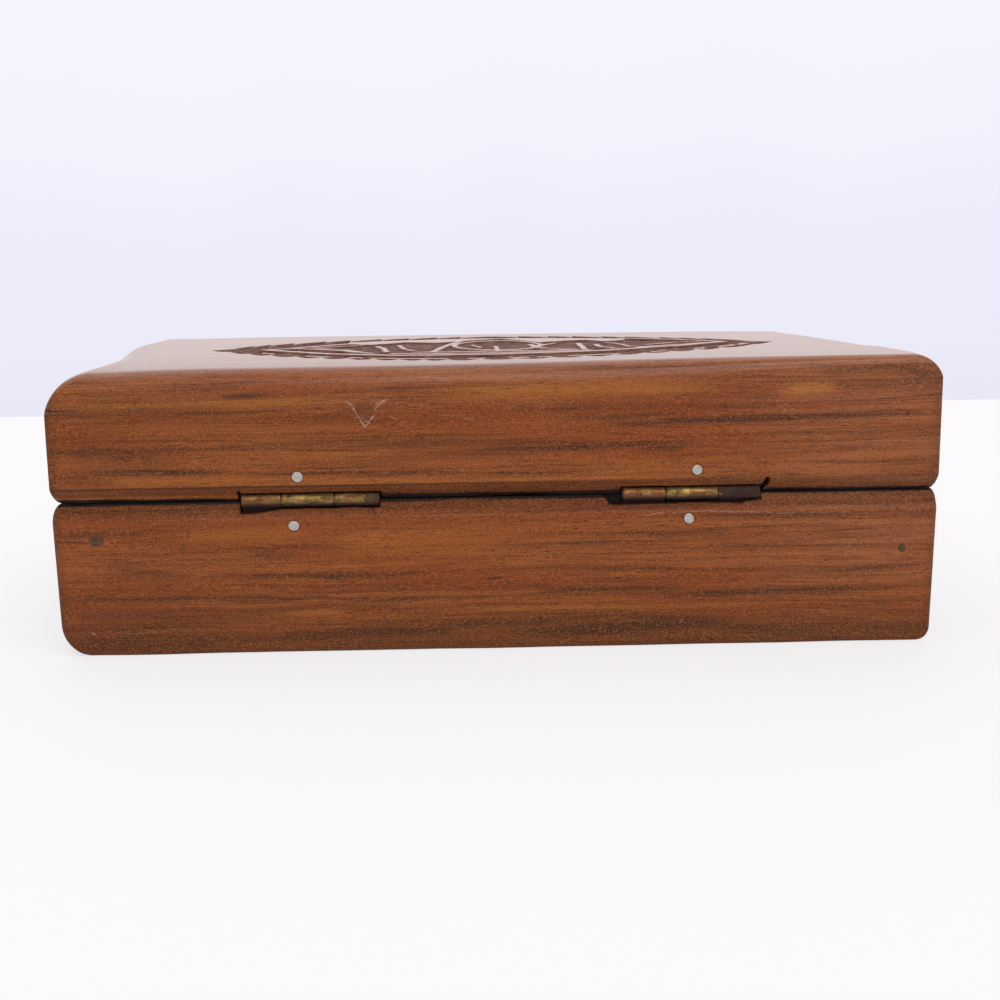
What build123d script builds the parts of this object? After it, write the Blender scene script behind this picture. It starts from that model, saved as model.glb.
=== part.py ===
from build123d import *
from math import asin, radians, degrees, sqrt
import os

# A small hinged wooden keepsake box with a carved lid, in millimetres.
# X runs along the length, +Y points to the back where the hinges are, Z is up.
# The origin is on the table, under the middle of the box.

# Overall box
box_length = 152.4
box_depth = 101.6
base_height = 26.7
rim_gap = 0.2
lid_frame_height = 15.4
lid_top_thickness = 8.3

# Boards
wall_thickness = 11.0
floor_thickness = 4.0
floor_rebate_width = 4.0
floor_recess = 0.5
floor_side_clearance = 0.1

# Rounded and bevelled edges
upright_corner_radius = 1.0
base_foot_radius = 0.8
base_worn_foot_radius = 2.5
lid_worn_end_radius = 7.5
lid_crisp_end_radius = 4.0
lid_long_edge_radius = 3.0
base_bevel_height = 3.0
base_bevel_depth = 1.2
lid_bevel_height = 2.6
lid_bevel_depth = 1.4
pivot_margin = 0.7

# Hinges
hinge_length = 23.5
middle_knuckle_length = 8.9
knuckle_gap = 0.15
barrel_radius = 1.2
barrel_recess = 0.05
pin_radius = 0.58
pin_running_fit = 0.04
leaf_height = 7.0
leaf_swing_gap = 0.3
right_hinge_x = 31.8
left_hinge_x = -33.7
kerf_clearance = 0.06
kerf_end_clearance = 0.3
barrel_pocket_clearance = 0.35
left_base_pocket_extra = 2.4

# Hinge nails, driven through the back board and the leaf
hinge_nail_radius = 0.95
hinge_nail_length = 9.0
hinge_nail_fit = 0.03
hinge_nail_tip_length = 1.8
hinge_nail_head_edge = 0.2
lid_nail_rise = 4.2
base_nail_drop = 4.25
right_lid_nail_shift = 2.0
right_base_nail_shift = 2.9
left_lid_nail_shift = -0.8
left_base_nail_shift = 0.5

# Corner nails of the base, sunk and plugged with filler
corner_nail_radius = 0.8
corner_nail_length = 22.0
corner_nail_fit = 0.03
plug_radius = 1.1
plug_depth = 1.5
right_corner_nail_inset = 7.6
right_corner_nail_z = 20.5
left_corner_nail_inset = 6.0
left_corner_nail_z = 16.7

# Carved medallion on the lid
medallion_half_length = 59.0
medallion_half_width = 40.5
carving_depth = 1.2
tooth_count = 22
tooth_length = 5.0
tooth_lean = 1.2
tooth_gap_share = 0.35
strap_inset = 8.5
strap_width = 1.7
strap_groove_width = 2.0
knot_ring_radius = 8.5
knot_side_ring_radius = 11.5
knot_side_ring_x = 17.5
knot_cross_ring_radius = 15.0
knot_cross_ring_y = 22.0
knot_line_width = 1.6
knot_boss_radius = 2.5
leaf_vein_start = 30.0
leaf_vein_end = 40.0

# Length by which a cutter runs past the face that it cuts
cut_margin = 1.0

# Places worked out from the sizes above
half_length = box_length / 2
half_depth = box_depth / 2
inner_length = box_length - 2 * wall_thickness
inner_depth = box_depth - 2 * wall_thickness
lid_rim_z = base_height + rim_gap
lid_frame_top_z = lid_rim_z + lid_frame_height
box_height = lid_frame_top_z + lid_top_thickness
hinge_axis_inset = barrel_radius + barrel_recess
hinge_axis_y = half_depth - hinge_axis_inset
hinge_axis_z = base_height + rim_gap / 2
leaf_thickness = barrel_radius - pin_radius - pin_running_fit
back_bevel_depth = hinge_axis_inset + pivot_margin
upward = 1
downward = -1
back_angle = 0
left_angle = 90
front_angle = 180
right_angle = 270


def block(x_low, x_high, y_low, y_high, z_low, z_high):
    """Plain block between two corners."""
    size = (x_high - x_low, y_high - y_low, z_high - z_low)
    middle = ((x_low + x_high) / 2, (y_low + y_high) / 2, (z_low + z_high) / 2)
    return Pos(*middle) * Box(*size)


def round_bar(start, direction, radius, length):
    """Cylinder that starts at a point and runs in a direction."""
    return extrude(Plane(origin=start, z_dir=direction) * Circle(radius), amount=length)


def rim_bevel(side_angle, face_distance, depth, height, rim_z, material_side):
    """Prism that takes the outer edge off a rim, on the side that faces side_angle."""
    outline = Polyline(
        (face_distance, rim_z + material_side * height),
        (face_distance - depth, rim_z),
        (face_distance - depth, rim_z - material_side * cut_margin),
        (face_distance + cut_margin, rim_z - material_side * cut_margin),
        (face_distance + cut_margin, rim_z + material_side * height),
        close=True,
    )
    prism = extrude(Plane.YZ * make_face(outline), amount=box_length, both=True)
    return Rot(0, 0, side_angle) * prism


def rounding_section(radius):
    """Face outside a quarter circle, for a corner at the origin with its material below and left."""
    reach = radius + cut_margin
    middle = reach / 2 - radius
    return Pos(middle, middle) * Rectangle(reach, reach) - Pos(-radius, -radius) * Circle(radius)


def edge_rounding(side_angle, face_distance, edge_z, turn, radius):
    """Prism that rounds a level outer edge, on the side that faces side_angle."""
    prism = extrude(Plane.YZ * rounding_section(radius), amount=box_length, both=True)
    return Rot(0, 0, side_angle) * Pos(0, face_distance, edge_z) * Rot(turn, 0, 0) * prism


def upright_rounding(corner_angle, corner_x, corner_y):
    """Prism that rounds one upright corner of the box."""
    prism = extrude(rounding_section(upright_corner_radius), amount=2 * box_height, both=True)
    return Pos(corner_x, corner_y, 0) * Rot(0, 0, corner_angle) * prism


def shaped_form(z_low, z_high, bevel_depth, bevel_height, material_side, end_radii, long_radius):
    """Block with its rim bevelled, its far edges rounded and its uprights rounded."""
    body = block(-half_length, half_length, -half_depth, half_depth, z_low, z_high)
    rim_z, edge_z, turn = (z_low, z_high, 0) if material_side == upward else (z_high, z_low, -90)
    sides = [
        (back_angle, half_depth, back_bevel_depth, long_radius),
        (front_angle, half_depth, bevel_depth, long_radius),
        (left_angle, half_length, bevel_depth, end_radii["left"]),
        (right_angle, half_length, bevel_depth, end_radii["right"]),
    ]
    for side_angle, face_distance, depth, radius in sides:
        body -= rim_bevel(side_angle, face_distance, depth, bevel_height, rim_z, material_side)
        body -= edge_rounding(side_angle, face_distance, edge_z, turn, radius)
    corners = [(0, 1, 1), (90, -1, 1), (180, -1, -1), (270, 1, -1)]
    for corner_angle, x_side, y_side in corners:
        body -= upright_rounding(corner_angle, x_side * half_length, y_side * half_depth)
    return body


def wall_boards(z_low, z_high):
    """Blocks of the four walls: back and front run full length over the two ends."""
    inner_x = half_length - wall_thickness
    inner_y = half_depth - wall_thickness
    return {
        "back": block(-half_length, half_length, inner_y, half_depth, z_low, z_high),
        "front": block(-half_length, half_length, -half_depth, -inner_y, z_low, z_high),
        "left": block(-half_length, -inner_x, -inner_y, inner_y, z_low, z_high),
        "right": block(inner_x, half_length, -inner_y, inner_y, z_low, z_high),
    }


def lens(inset):
    """Pointed oval of the medallion, drawn in from its outer line by an inset."""
    arc_radius = (medallion_half_length**2 + medallion_half_width**2) / (2 * medallion_half_width)
    centre_offset = arc_radius - medallion_half_width
    inset_radius = arc_radius - inset
    tip = sqrt(inset_radius**2 - centre_offset**2)
    crown = inset_radius - centre_offset
    outline = ThreePointArc((-tip, 0), (0, crown), (tip, 0))
    outline += ThreePointArc((tip, 0), (0, -crown), (-tip, 0))
    return make_face(outline)


def ring(radius, width):
    """Flat ring with a given outer radius and width."""
    return Circle(radius) - Circle(radius - width)


def border_teeth():
    """Triangles left standing along both arcs of the medallion, points inward."""
    arc_radius = (medallion_half_length**2 + medallion_half_width**2) / (2 * medallion_half_width)
    centre_offset = arc_radius - medallion_half_width
    half_angle = degrees(asin(medallion_half_length / arc_radius))
    pitch_angle = 2 * half_angle / tooth_count
    half_base = arc_radius * radians(pitch_angle) * (1 - tooth_gap_share) / 2
    teeth = []
    for index in range(tooth_count):
        angle = 90 - half_angle + pitch_angle * (index + 0.5)
        tooth = make_face(Polyline(
            (arc_radius + cut_margin, -half_base),
            (arc_radius + cut_margin, half_base),
            (arc_radius - tooth_length, tooth_lean),
            close=True,
        ))
        placed = Pos(0, -centre_offset, 0) * (Rot(0, 0, angle) * tooth)
        teeth.append(placed)
        teeth.append(Rot(0, 0, 180) * placed)
    return teeth


def carved_ground():
    """Face of the cut-down ground: the medallion without the lines left standing."""
    ground = lens(0)
    for tooth in border_teeth():
        ground -= tooth
    second_inset = strap_inset + strap_width + strap_groove_width
    for inset in (strap_inset, second_inset):
        ground -= lens(inset) - lens(inset + strap_width)
    inner_ground = lens(second_inset + strap_width)
    knot = ring(knot_ring_radius, knot_line_width) + Circle(knot_boss_radius)
    for side in (-1, 1):
        knot += Pos(side * knot_side_ring_x, 0) * ring(knot_side_ring_radius, knot_line_width)
        knot += Pos(0, side * knot_cross_ring_y) * ring(knot_cross_ring_radius, knot_line_width)
        vein_middle = side * (leaf_vein_start + leaf_vein_end) / 2
        knot += Pos(vein_middle, 0) * Rectangle(leaf_vein_end - leaf_vein_start, knot_line_width)
    ground -= knot & inner_ground
    return ground


def carving_cutter():
    """Solid that sinks the ground of the medallion into the top board."""
    top_plane = Plane.XY.offset(box_height - carving_depth)
    return extrude(top_plane * carved_ground(), amount=carving_depth + cut_margin)


def knuckle_spans(hinge_x):
    """X spans of the three knuckles, with a small gap between neighbours."""
    low = hinge_x - hinge_length / 2
    high = hinge_x + hinge_length / 2
    middle_low = hinge_x - middle_knuckle_length / 2
    middle_high = hinge_x + middle_knuckle_length / 2
    return [
        (low, middle_low - knuckle_gap),
        (middle_low, middle_high),
        (middle_high + knuckle_gap, high),
    ]


def hinge_leaf(hinge_x, spans, side, nail_x, nail_distance):
    """Leaf with its knuckles: a flat plate wrapped round the pin at the outer edge."""
    plate_y_low = hinge_axis_y - barrel_radius
    plate_y_high = plate_y_low + leaf_thickness
    swing_z = hinge_axis_z + side * (barrel_radius + leaf_swing_gap)
    far_z = hinge_axis_z + side * leaf_height
    leaf = block(
        hinge_x - hinge_length / 2, hinge_x + hinge_length / 2,
        plate_y_low, plate_y_high, min(swing_z, far_z), max(swing_z, far_z),
    )
    for x_low, x_high in spans:
        leaf += block(
            x_low, x_high, plate_y_low, plate_y_high,
            min(hinge_axis_z, swing_z), max(hinge_axis_z, swing_z),
        )
        leaf += round_bar((x_low, hinge_axis_y, hinge_axis_z), (1, 0, 0), barrel_radius, x_high - x_low)
    leaf -= round_bar(
        (hinge_x - hinge_length, hinge_axis_y, hinge_axis_z), (1, 0, 0),
        pin_radius + pin_running_fit, 2 * hinge_length,
    )
    nail_z = hinge_axis_z + side * nail_distance
    leaf -= round_bar(
        (nail_x, half_depth, nail_z), (0, -1, 0), hinge_nail_radius + hinge_nail_fit, wall_thickness,
    )
    return leaf


def hinge_pin(hinge_x):
    """Pin through all the knuckles of one hinge."""
    return round_bar((hinge_x - hinge_length / 2, hinge_axis_y, hinge_axis_z), (1, 0, 0), pin_radius, hinge_length)


def hinge_nail(nail_x, nail_z):
    """Nail driven in from the back face, cut flush there, with a tapered point."""
    straight_length = hinge_nail_length - hinge_nail_tip_length
    shank = round_bar((nail_x, half_depth, nail_z), (0, -1, 0), hinge_nail_radius, straight_length)
    shank = chamfer(shank.edges().group_by(Axis.Y)[-1], hinge_nail_head_edge)
    tip_start = (nail_x, half_depth - straight_length, nail_z)
    tip_plane = Plane(origin=tip_start, x_dir=(1, 0, 0), z_dir=(0, -1, 0))
    tip_middle = tip_plane * Pos(0, 0, hinge_nail_tip_length / 2)
    tip = tip_middle * Cone(hinge_nail_radius, hinge_nail_radius / 3, hinge_nail_tip_length)
    return shank + tip


def leaf_kerf(hinge_x, side):
    """Saw kerf in a back board that the leaf stands in."""
    far_z = hinge_axis_z + side * (leaf_height + kerf_end_clearance)
    plate_y_low = hinge_axis_y - barrel_radius
    return block(
        hinge_x - hinge_length / 2 - kerf_end_clearance,
        hinge_x + hinge_length / 2 + kerf_end_clearance,
        plate_y_low - kerf_clearance, plate_y_low + leaf_thickness + kerf_clearance,
        min(hinge_axis_z, far_z), max(hinge_axis_z, far_z),
    )


def barrel_pocket(hinge_x, side, extra_length):
    """Open notch in the outer edge of a back board that clears the barrel."""
    far_z = hinge_axis_z + side * (barrel_radius + barrel_pocket_clearance)
    return block(
        hinge_x - hinge_length / 2 - barrel_pocket_clearance,
        hinge_x + hinge_length / 2 + barrel_pocket_clearance + extra_length,
        hinge_axis_y - barrel_radius - kerf_clearance, half_depth + cut_margin,
        min(hinge_axis_z, far_z), max(hinge_axis_z, far_z),
    )


def nail_hole(nail_x, nail_z):
    """Hole of a hinge nail, as deep as the nail is long."""
    return round_bar(
        (nail_x, half_depth, nail_z), (0, -1, 0),
        hinge_nail_radius + hinge_nail_fit, hinge_nail_length + kerf_end_clearance,
    )


# Places of the corner nails: one through each end of the back and front boards
corner_nail_places = [
    (half_length - right_corner_nail_inset, right_corner_nail_z),
    (-half_length + left_corner_nail_inset, left_corner_nail_z),
]


def corner_nail_parts():
    """Sunk nails, the filler over their heads, and the holes that both lie in."""
    nails = []
    plugs = []
    holes = []
    for x, z in corner_nail_places:
        for facing in (-1, 1):
            inward = (0, -facing, 0)
            face_y = facing * half_depth
            seat_y = facing * (half_depth - plug_depth)
            nails.append(round_bar((x, seat_y, z), inward, corner_nail_radius, corner_nail_length))
            plugs.append(round_bar((x, face_y, z), inward, plug_radius, plug_depth))
            holes.append(round_bar((x, face_y, z), inward, plug_radius, plug_depth))
            hole_radius = corner_nail_radius + corner_nail_fit
            hole_length = corner_nail_length + kerf_end_clearance
            holes.append(round_bar((x, seat_y, z), inward, hole_radius, hole_length))
    return nails, plugs, holes


# One entry per hinge: name, place, nails in the lid and the base, and the base notch's extra length
hinges = [
    {
        "name": "right_hinge",
        "x": right_hinge_x,
        "lid_nail_x": right_hinge_x + right_lid_nail_shift,
        "base_nail_x": right_hinge_x + right_base_nail_shift,
        "base_pocket_extra": 0.0,
    },
    {
        "name": "left_hinge",
        "x": left_hinge_x,
        "lid_nail_x": left_hinge_x + left_lid_nail_shift,
        "base_nail_x": left_hinge_x + left_base_nail_shift,
        "base_pocket_extra": left_base_pocket_extra,
    },
]
lid_nail_z = hinge_axis_z + lid_nail_rise
base_nail_z = hinge_axis_z - base_nail_drop

parts = {}

# Base boards
base_form = shaped_form(
    0, base_height, base_bevel_depth, base_bevel_height, downward,
    {"left": base_foot_radius, "right": base_worn_foot_radius}, base_foot_radius,
)
corner_nails, nail_plugs, corner_holes = corner_nail_parts()
floor_rebate = block(
    -inner_length / 2 - floor_rebate_width, inner_length / 2 + floor_rebate_width,
    -inner_depth / 2 - floor_rebate_width, inner_depth / 2 + floor_rebate_width,
    -cut_margin, floor_recess + floor_thickness,
)
base_boards = wall_boards(0, base_height)
for side, board in base_boards.items():
    solid = (board & base_form) - floor_rebate
    for hole in corner_holes:
        solid -= hole
    if side == "back":
        for hinge in hinges:
            solid -= leaf_kerf(hinge["x"], downward)
            solid -= barrel_pocket(hinge["x"], downward, hinge["base_pocket_extra"])
            solid -= nail_hole(hinge["base_nail_x"], base_nail_z)
    parts["base_" + side + "_board"] = solid

# Floor panel, seated in the rebate of the four boards
floor_half_x = inner_length / 2 + floor_rebate_width - floor_side_clearance
floor_half_y = inner_depth / 2 + floor_rebate_width - floor_side_clearance
parts["base_floor_panel"] = block(
    -floor_half_x, floor_half_x, -floor_half_y, floor_half_y,
    floor_recess, floor_recess + floor_thickness,
)

# Lid frame and top board
lid_form = shaped_form(
    lid_rim_z, box_height, lid_bevel_depth, lid_bevel_height, upward,
    {"left": lid_crisp_end_radius, "right": lid_worn_end_radius}, lid_long_edge_radius,
)
lid_boards = wall_boards(lid_rim_z, lid_frame_top_z)
for side, board in lid_boards.items():
    solid = board & lid_form
    if side == "back":
        for hinge in hinges:
            solid -= leaf_kerf(hinge["x"], upward)
            solid -= barrel_pocket(hinge["x"], upward, 0.0)
            solid -= nail_hole(hinge["lid_nail_x"], lid_nail_z)
    parts["lid_" + side + "_board"] = solid
top_block = block(-half_length, half_length, -half_depth, half_depth, lid_frame_top_z, box_height)
parts["lid_top_board"] = (top_block & lid_form) - carving_cutter()

# Hinges and their nails
for hinge in hinges:
    spans = knuckle_spans(hinge["x"])
    name = hinge["name"]
    parts[name + "_base_leaf"] = hinge_leaf(
        hinge["x"], [spans[0], spans[2]], downward, hinge["base_nail_x"], base_nail_drop,
    )
    parts[name + "_lid_leaf"] = hinge_leaf(
        hinge["x"], [spans[1]], upward, hinge["lid_nail_x"], lid_nail_rise,
    )
    parts[name + "_pin"] = hinge_pin(hinge["x"])
    parts[name + "_base_nail"] = hinge_nail(hinge["base_nail_x"], base_nail_z)
    parts[name + "_lid_nail"] = hinge_nail(hinge["lid_nail_x"], lid_nail_z)

# Nails and filler that hold the base's corners
parts["base_corner_nails"] = Compound(children=corner_nails)
parts["base_nail_plugs"] = Compound(children=nail_plugs)

os.makedirs("parts", exist_ok=True)
for node, shape in parts.items():
    export_step(shape, "parts/" + node + ".step")
    print(node, round(shape.volume, 2))
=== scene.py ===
import math
from functools import reduce

import bpy
import numpy as np
from mathutils import Matrix, Vector


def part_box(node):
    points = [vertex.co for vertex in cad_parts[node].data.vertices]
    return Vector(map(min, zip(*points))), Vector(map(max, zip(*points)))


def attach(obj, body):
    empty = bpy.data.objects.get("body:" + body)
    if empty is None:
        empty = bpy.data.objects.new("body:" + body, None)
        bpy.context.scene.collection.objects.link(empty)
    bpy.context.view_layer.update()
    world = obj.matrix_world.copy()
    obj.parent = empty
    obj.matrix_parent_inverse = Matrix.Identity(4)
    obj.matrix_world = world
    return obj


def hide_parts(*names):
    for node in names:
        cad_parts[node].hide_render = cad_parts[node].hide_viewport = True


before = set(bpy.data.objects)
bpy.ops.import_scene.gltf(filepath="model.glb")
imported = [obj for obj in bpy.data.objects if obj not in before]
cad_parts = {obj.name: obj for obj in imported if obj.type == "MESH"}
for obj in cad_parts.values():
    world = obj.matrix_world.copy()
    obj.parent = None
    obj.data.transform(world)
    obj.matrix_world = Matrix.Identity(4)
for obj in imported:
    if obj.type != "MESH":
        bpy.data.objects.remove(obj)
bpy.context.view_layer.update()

# A small wooden keepsake box with a carved lid, seen from behind.
# The solids come from the frame; worn boards, carving, hinges and nails are built over them.
# Lengths in this script are millimetres unless a name says otherwise.
MM = 0.001


def node_box(node):
    """Lowest and highest corners of a solid, in millimetres."""
    low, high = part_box(node)
    return np.array(low) / MM, np.array(high) / MM


# Places taken from the frame
lid_back_low, lid_back_high = node_box("lid_back_board")
base_back_high = node_box("base_back_board")[1]
lid_left_high = node_box("lid_left_board")[1]
lid_top_high = node_box("lid_top_board")[1]
half_length = lid_back_high[0]
half_depth = lid_back_high[1]
inner_half_length = -lid_left_high[0]
inner_half_depth = lid_back_low[1]
rim_low_z = base_back_high[2]
rim_high_z = lid_back_low[2]
rim_z = (rim_low_z + rim_high_z) / 2
glue_z = lid_back_high[2]
box_top_z = lid_top_high[2]

# Hinges, from the pins' solids: X span of each, and the axis of both
hinge_names = ("right_hinge", "left_hinge")
pin_boxes = {hinge: node_box(hinge + "_pin") for hinge in hinge_names}
hinge_spans = {hinge: (low[0], high[0]) for hinge, (low, high) in pin_boxes.items()}
_, axis_y, axis_z = sum(pin_boxes["left_hinge"]) / 2
hinge_nails = tuple(hinge + "_" + part + "_nail" for hinge in hinge_names for part in ("lid", "base"))

# Repeatable noise
lattice_size = 4096
lattice = np.random.default_rng(11).random(lattice_size)
lattice_factors = (73856093, 19349663, 83492791, 2654435)
lattice_shift = 13


def lattice_value(*place_and_seed):
    """Repeatable number from 0 to 1 for a lattice point and a seed."""
    mixed = 0
    for part, factor in zip(place_and_seed, lattice_factors):
        mixed = mixed ^ (part * factor)
    mixed = mixed ^ (mixed >> lattice_shift)
    return lattice[mixed & (lattice_size - 1)]


def value_noise(x, y, z, seed):
    """Smooth noise from 0 to 1 whose cells are one unit wide."""
    x, y, z = np.broadcast_arrays(x, y, z)
    ix, iy, iz = (np.floor(v).astype(np.int64) for v in (x, y, z))
    fx, fy, fz = (v - w for v, w in ((x, ix), (y, iy), (z, iz)))
    fx, fy, fz = (t * t * (3 - 2 * t) for t in (fx, fy, fz))
    total = 0.0
    for dx in (0, 1):
        for dy in (0, 1):
            for dz in (0, 1):
                weight = (fx if dx else 1 - fx) * (fy if dy else 1 - fy) * (fz if dz else 1 - fz)
                total = total + weight * lattice_value(ix + dx, iy + dy, iz + dz, seed)
    return total


def smooth_step(low, high, value):
    """0 below low, 1 above high and an easy curve between."""
    t = np.clip((value - low) / (high - low), 0.0, 1.0)
    return t * t * (3.0 - 2.0 * t)


def bump_curve(value, middle, half_width):
    """1 at a place, falling away like a bell on both sides."""
    return np.exp(-((value - middle) / half_width) ** 2)


def round_drop(distance, radius):
    """How far a rounded edge falls away at a distance from the face."""
    reach = np.clip(radius - distance, 0.0, radius)
    return radius - np.sqrt(np.maximum(radius**2 - reach**2, 0.0))


def bevel_inset(distance, depth, height, softness=0.10):
    """Slanted bevel with a softened upper line."""
    slope = depth * (1.0 - distance / height)
    return np.where(slope > -1.0, 0.5 * (slope + np.sqrt(slope**2 + softness**2)), 0.0)


def eased_inset(distance, depth, height):
    """Worn round edge: deepest at its rim and nothing past its height."""
    reach = np.clip(1.0 - distance / height, 0.0, 1.0)
    return depth * (1.0 - np.sqrt(1.0 - reach**2))


def segment_distance(x, y, start, end):
    """Distance from points to a straight stroke."""
    sx, sy = start
    ex, ey = end
    dx, dy = ex - sx, ey - sy
    t = np.clip(((x - sx) * dx + (y - sy) * dy) / (dx * dx + dy * dy), 0.0, 1.0)
    return np.hypot(x - sx - t * dx, y - sy - t * dy)


def path_distance(x, y, points):
    """Distance from points to a stroke of several straight runs."""
    return np.minimum.reduce([segment_distance(x, y, a, b) for a, b in zip(points, points[1:])])


# Camera, fitted to the photograph's outline of the back face and of the lid
focal_pixels = 1300.0
image_pixels = 1000.0
sensor_width = 36.0
frame_shift = 0.03255
camera_pitch = 0.1731
camera_roll = -0.0169
camera_yaw = 0.0096
camera_side = 6.958
camera_distance = 219.177
camera_height = 64.817
nearest_metres = 0.01
farthest_metres = 50.0


def make_camera():
    """Camera at the photograph's place, looking along -Y at the back of the box."""
    yaw_cos, yaw_sin = math.cos(camera_yaw), math.sin(camera_yaw)
    pitch_cos, pitch_sin = math.cos(camera_pitch), math.sin(camera_pitch)
    roll_cos, roll_sin = math.cos(camera_roll), math.sin(camera_roll)
    level_right = Vector((-yaw_cos, yaw_sin, 0.0))
    level_up = Vector((-pitch_sin * yaw_sin, -pitch_sin * yaw_cos, pitch_cos))
    ahead = Vector((-pitch_cos * yaw_sin, -pitch_cos * yaw_cos, -pitch_sin))
    right = level_right * roll_cos + level_up * roll_sin
    up = level_up * roll_cos - level_right * roll_sin
    data = bpy.data.cameras.new("camera")
    data.sensor_width = sensor_width
    data.lens = focal_pixels / image_pixels * sensor_width
    data.shift_x = frame_shift
    data.clip_start = nearest_metres
    data.clip_end = farthest_metres
    camera = bpy.data.objects.new("camera", data)
    place = Vector((camera_side, half_depth + camera_distance, camera_height)) * MM
    turn = Matrix((right, up, -ahead)).transposed()
    camera.matrix_world = Matrix.Translation(place) @ turn.to_4x4()
    bpy.context.scene.collection.objects.link(camera)
    bpy.context.scene.camera = camera


# Shader building: places of the colour sockets on a mix node
mix_colours = (6, 7)
mix_result = 2


class Signal:
    """Output of a shader node that can be added, subtracted and multiplied like a number."""

    def __init__(self, socket):
        self.socket = socket
        self.tree = socket.id_data

    def __add__(self, other):
        return math_node("ADD", self, other)

    def __sub__(self, other):
        return math_node("SUBTRACT", self, other)

    def __mul__(self, other):
        return math_node("MULTIPLY", self, other)

    def __truediv__(self, other):
        return math_node("DIVIDE", self, other)

    __radd__ = __add__


def feed(target, source):
    """Links a signal, or writes a plain number or colour, into an input."""
    if isinstance(source, Signal):
        source.tree.links.new(source.socket, target)
    else:
        target.default_value = source


def math_node(operation, first, *others, clamp=False):
    """One arithmetic node; its first input is a signal and the others are signals or numbers."""
    node = first.tree.nodes.new("ShaderNodeMath")
    node.operation = operation
    node.use_clamp = clamp
    for target, source in zip(node.inputs, (first, *others)):
        feed(target, source)
    return Signal(node.outputs[0])


def absolute(signal):
    """Size of a signal without its sign."""
    return math_node("ABSOLUTE", signal)


def strongest(*signals):
    """Largest of several signals at each place."""
    return reduce(lambda first, second: math_node("MAXIMUM", first, second), signals)


def remap(signal, low, high, to_low=0.0, to_high=1.0):
    """Maps a range of values onto another, eased and held at its ends."""
    node = signal.tree.nodes.new("ShaderNodeMapRange")
    node.interpolation_type = "SMOOTHSTEP"
    sources = {"Value": signal, "From Min": low, "From Max": high, "To Min": to_low, "To Max": to_high}
    for name, source in sources.items():
        feed(node.inputs[name], source)
    return Signal(node.outputs["Result"])


def span_mask(signal, low, high, softness):
    """1 between two places of an axis, eased at both ends."""
    rise = remap(signal, low - softness, low + softness)
    return rise * remap(signal, high + softness, high - softness)


def mix_colour(share, first, second):
    """Blend of two colours; a share of 0 gives the first."""
    node = share.tree.nodes.new("ShaderNodeMix")
    node.data_type = "RGBA"
    feed(node.inputs[0], share)
    for index, source in zip(mix_colours, (first, second)):
        feed(node.inputs[index], source if isinstance(source, Signal) else (*source, 1.0))
    return Signal(node.outputs[mix_result])


def paint(colour, layers):
    """Lays colours over another one by one, each by its own share."""
    for share, tint in layers:
        colour = mix_colour(share, colour, tint)
    return colour


def noise(place, scales, detail=2.0, roughness=0.5):
    """Noise from 0 to 1, drawn out along the axes whose scales are small."""
    tree = place[0].tree
    vector = tree.nodes.new("ShaderNodeCombineXYZ")
    for target, part, scale in zip(vector.inputs, place, scales):
        feed(target, part * scale)
    node = tree.nodes.new("ShaderNodeTexNoise")
    tree.links.new(vector.outputs[0], node.inputs["Vector"])
    node.inputs["Scale"].default_value = 1.0
    node.inputs["Detail"].default_value = detail
    node.inputs["Roughness"].default_value = roughness
    return Signal(node.outputs["Fac"])


def split_vector(tree, socket):
    """X, Y and Z of a vector."""
    node = tree.nodes.new("ShaderNodeSeparateXYZ")
    tree.links.new(socket, node.inputs[0])
    return tuple(Signal(output) for output in node.outputs)


def place_coordinates(tree):
    """X, Y and Z of the surface in millimetres, in the object's own frame."""
    place = tree.nodes.new("ShaderNodeTexCoord")
    scale = tree.nodes.new("ShaderNodeVectorMath")
    scale.operation = "SCALE"
    scale.inputs["Scale"].default_value = 1.0 / MM
    tree.links.new(place.outputs["Object"], scale.inputs[0])
    return split_vector(tree, scale.outputs[0])


def new_material(name):
    """Empty material with a Principled shader; returns the material, its tree and the shader."""
    material = bpy.data.materials.new(name)
    material.use_nodes = True
    tree = material.node_tree
    tree.nodes.clear()
    shader = tree.nodes.new("ShaderNodeBsdfPrincipled")
    output = tree.nodes.new("ShaderNodeOutputMaterial")
    output.name = "Material Output"
    tree.links.new(shader.outputs[0], output.inputs[0])
    return material, tree, shader


def dress_shader(shader, colour, roughness, height, bump_depth):
    """Wires colour, roughness and bump into a shader; a height of 1 stands for the bump's depth."""
    bump = colour.tree.nodes.new("ShaderNodeBump")
    bump.inputs["Strength"].default_value = 1.0
    bump.inputs["Distance"].default_value = bump_depth * MM
    feed(bump.inputs["Height"], height)
    feed(shader.inputs["Normal"], Signal(bump.outputs[0]))
    feed(shader.inputs["Base Color"], colour)
    feed(shader.inputs["Roughness"], roughness)


def attribute_value(tree, name):
    """Number kept on the mesh's points."""
    node = tree.nodes.new("ShaderNodeAttribute")
    node.attribute_name = name
    return Signal(node.outputs["Fac"])


def group_inputs(tree, names):
    """Inputs of a node group, all plain numbers."""
    for name in names:
        tree.interface.new_socket(name=name, in_out="INPUT", socket_type="NodeSocketFloat")
    node = tree.nodes.new("NodeGroupInput")
    return [Signal(node.outputs[name]) for name in names]


def group_output(tree, signal):
    """The one output of a node group."""
    tree.interface.new_socket(name="Mask", in_out="OUTPUT", socket_type="NodeSocketFloat")
    feed(tree.nodes.new("NodeGroupOutput").inputs[0], signal)


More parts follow.
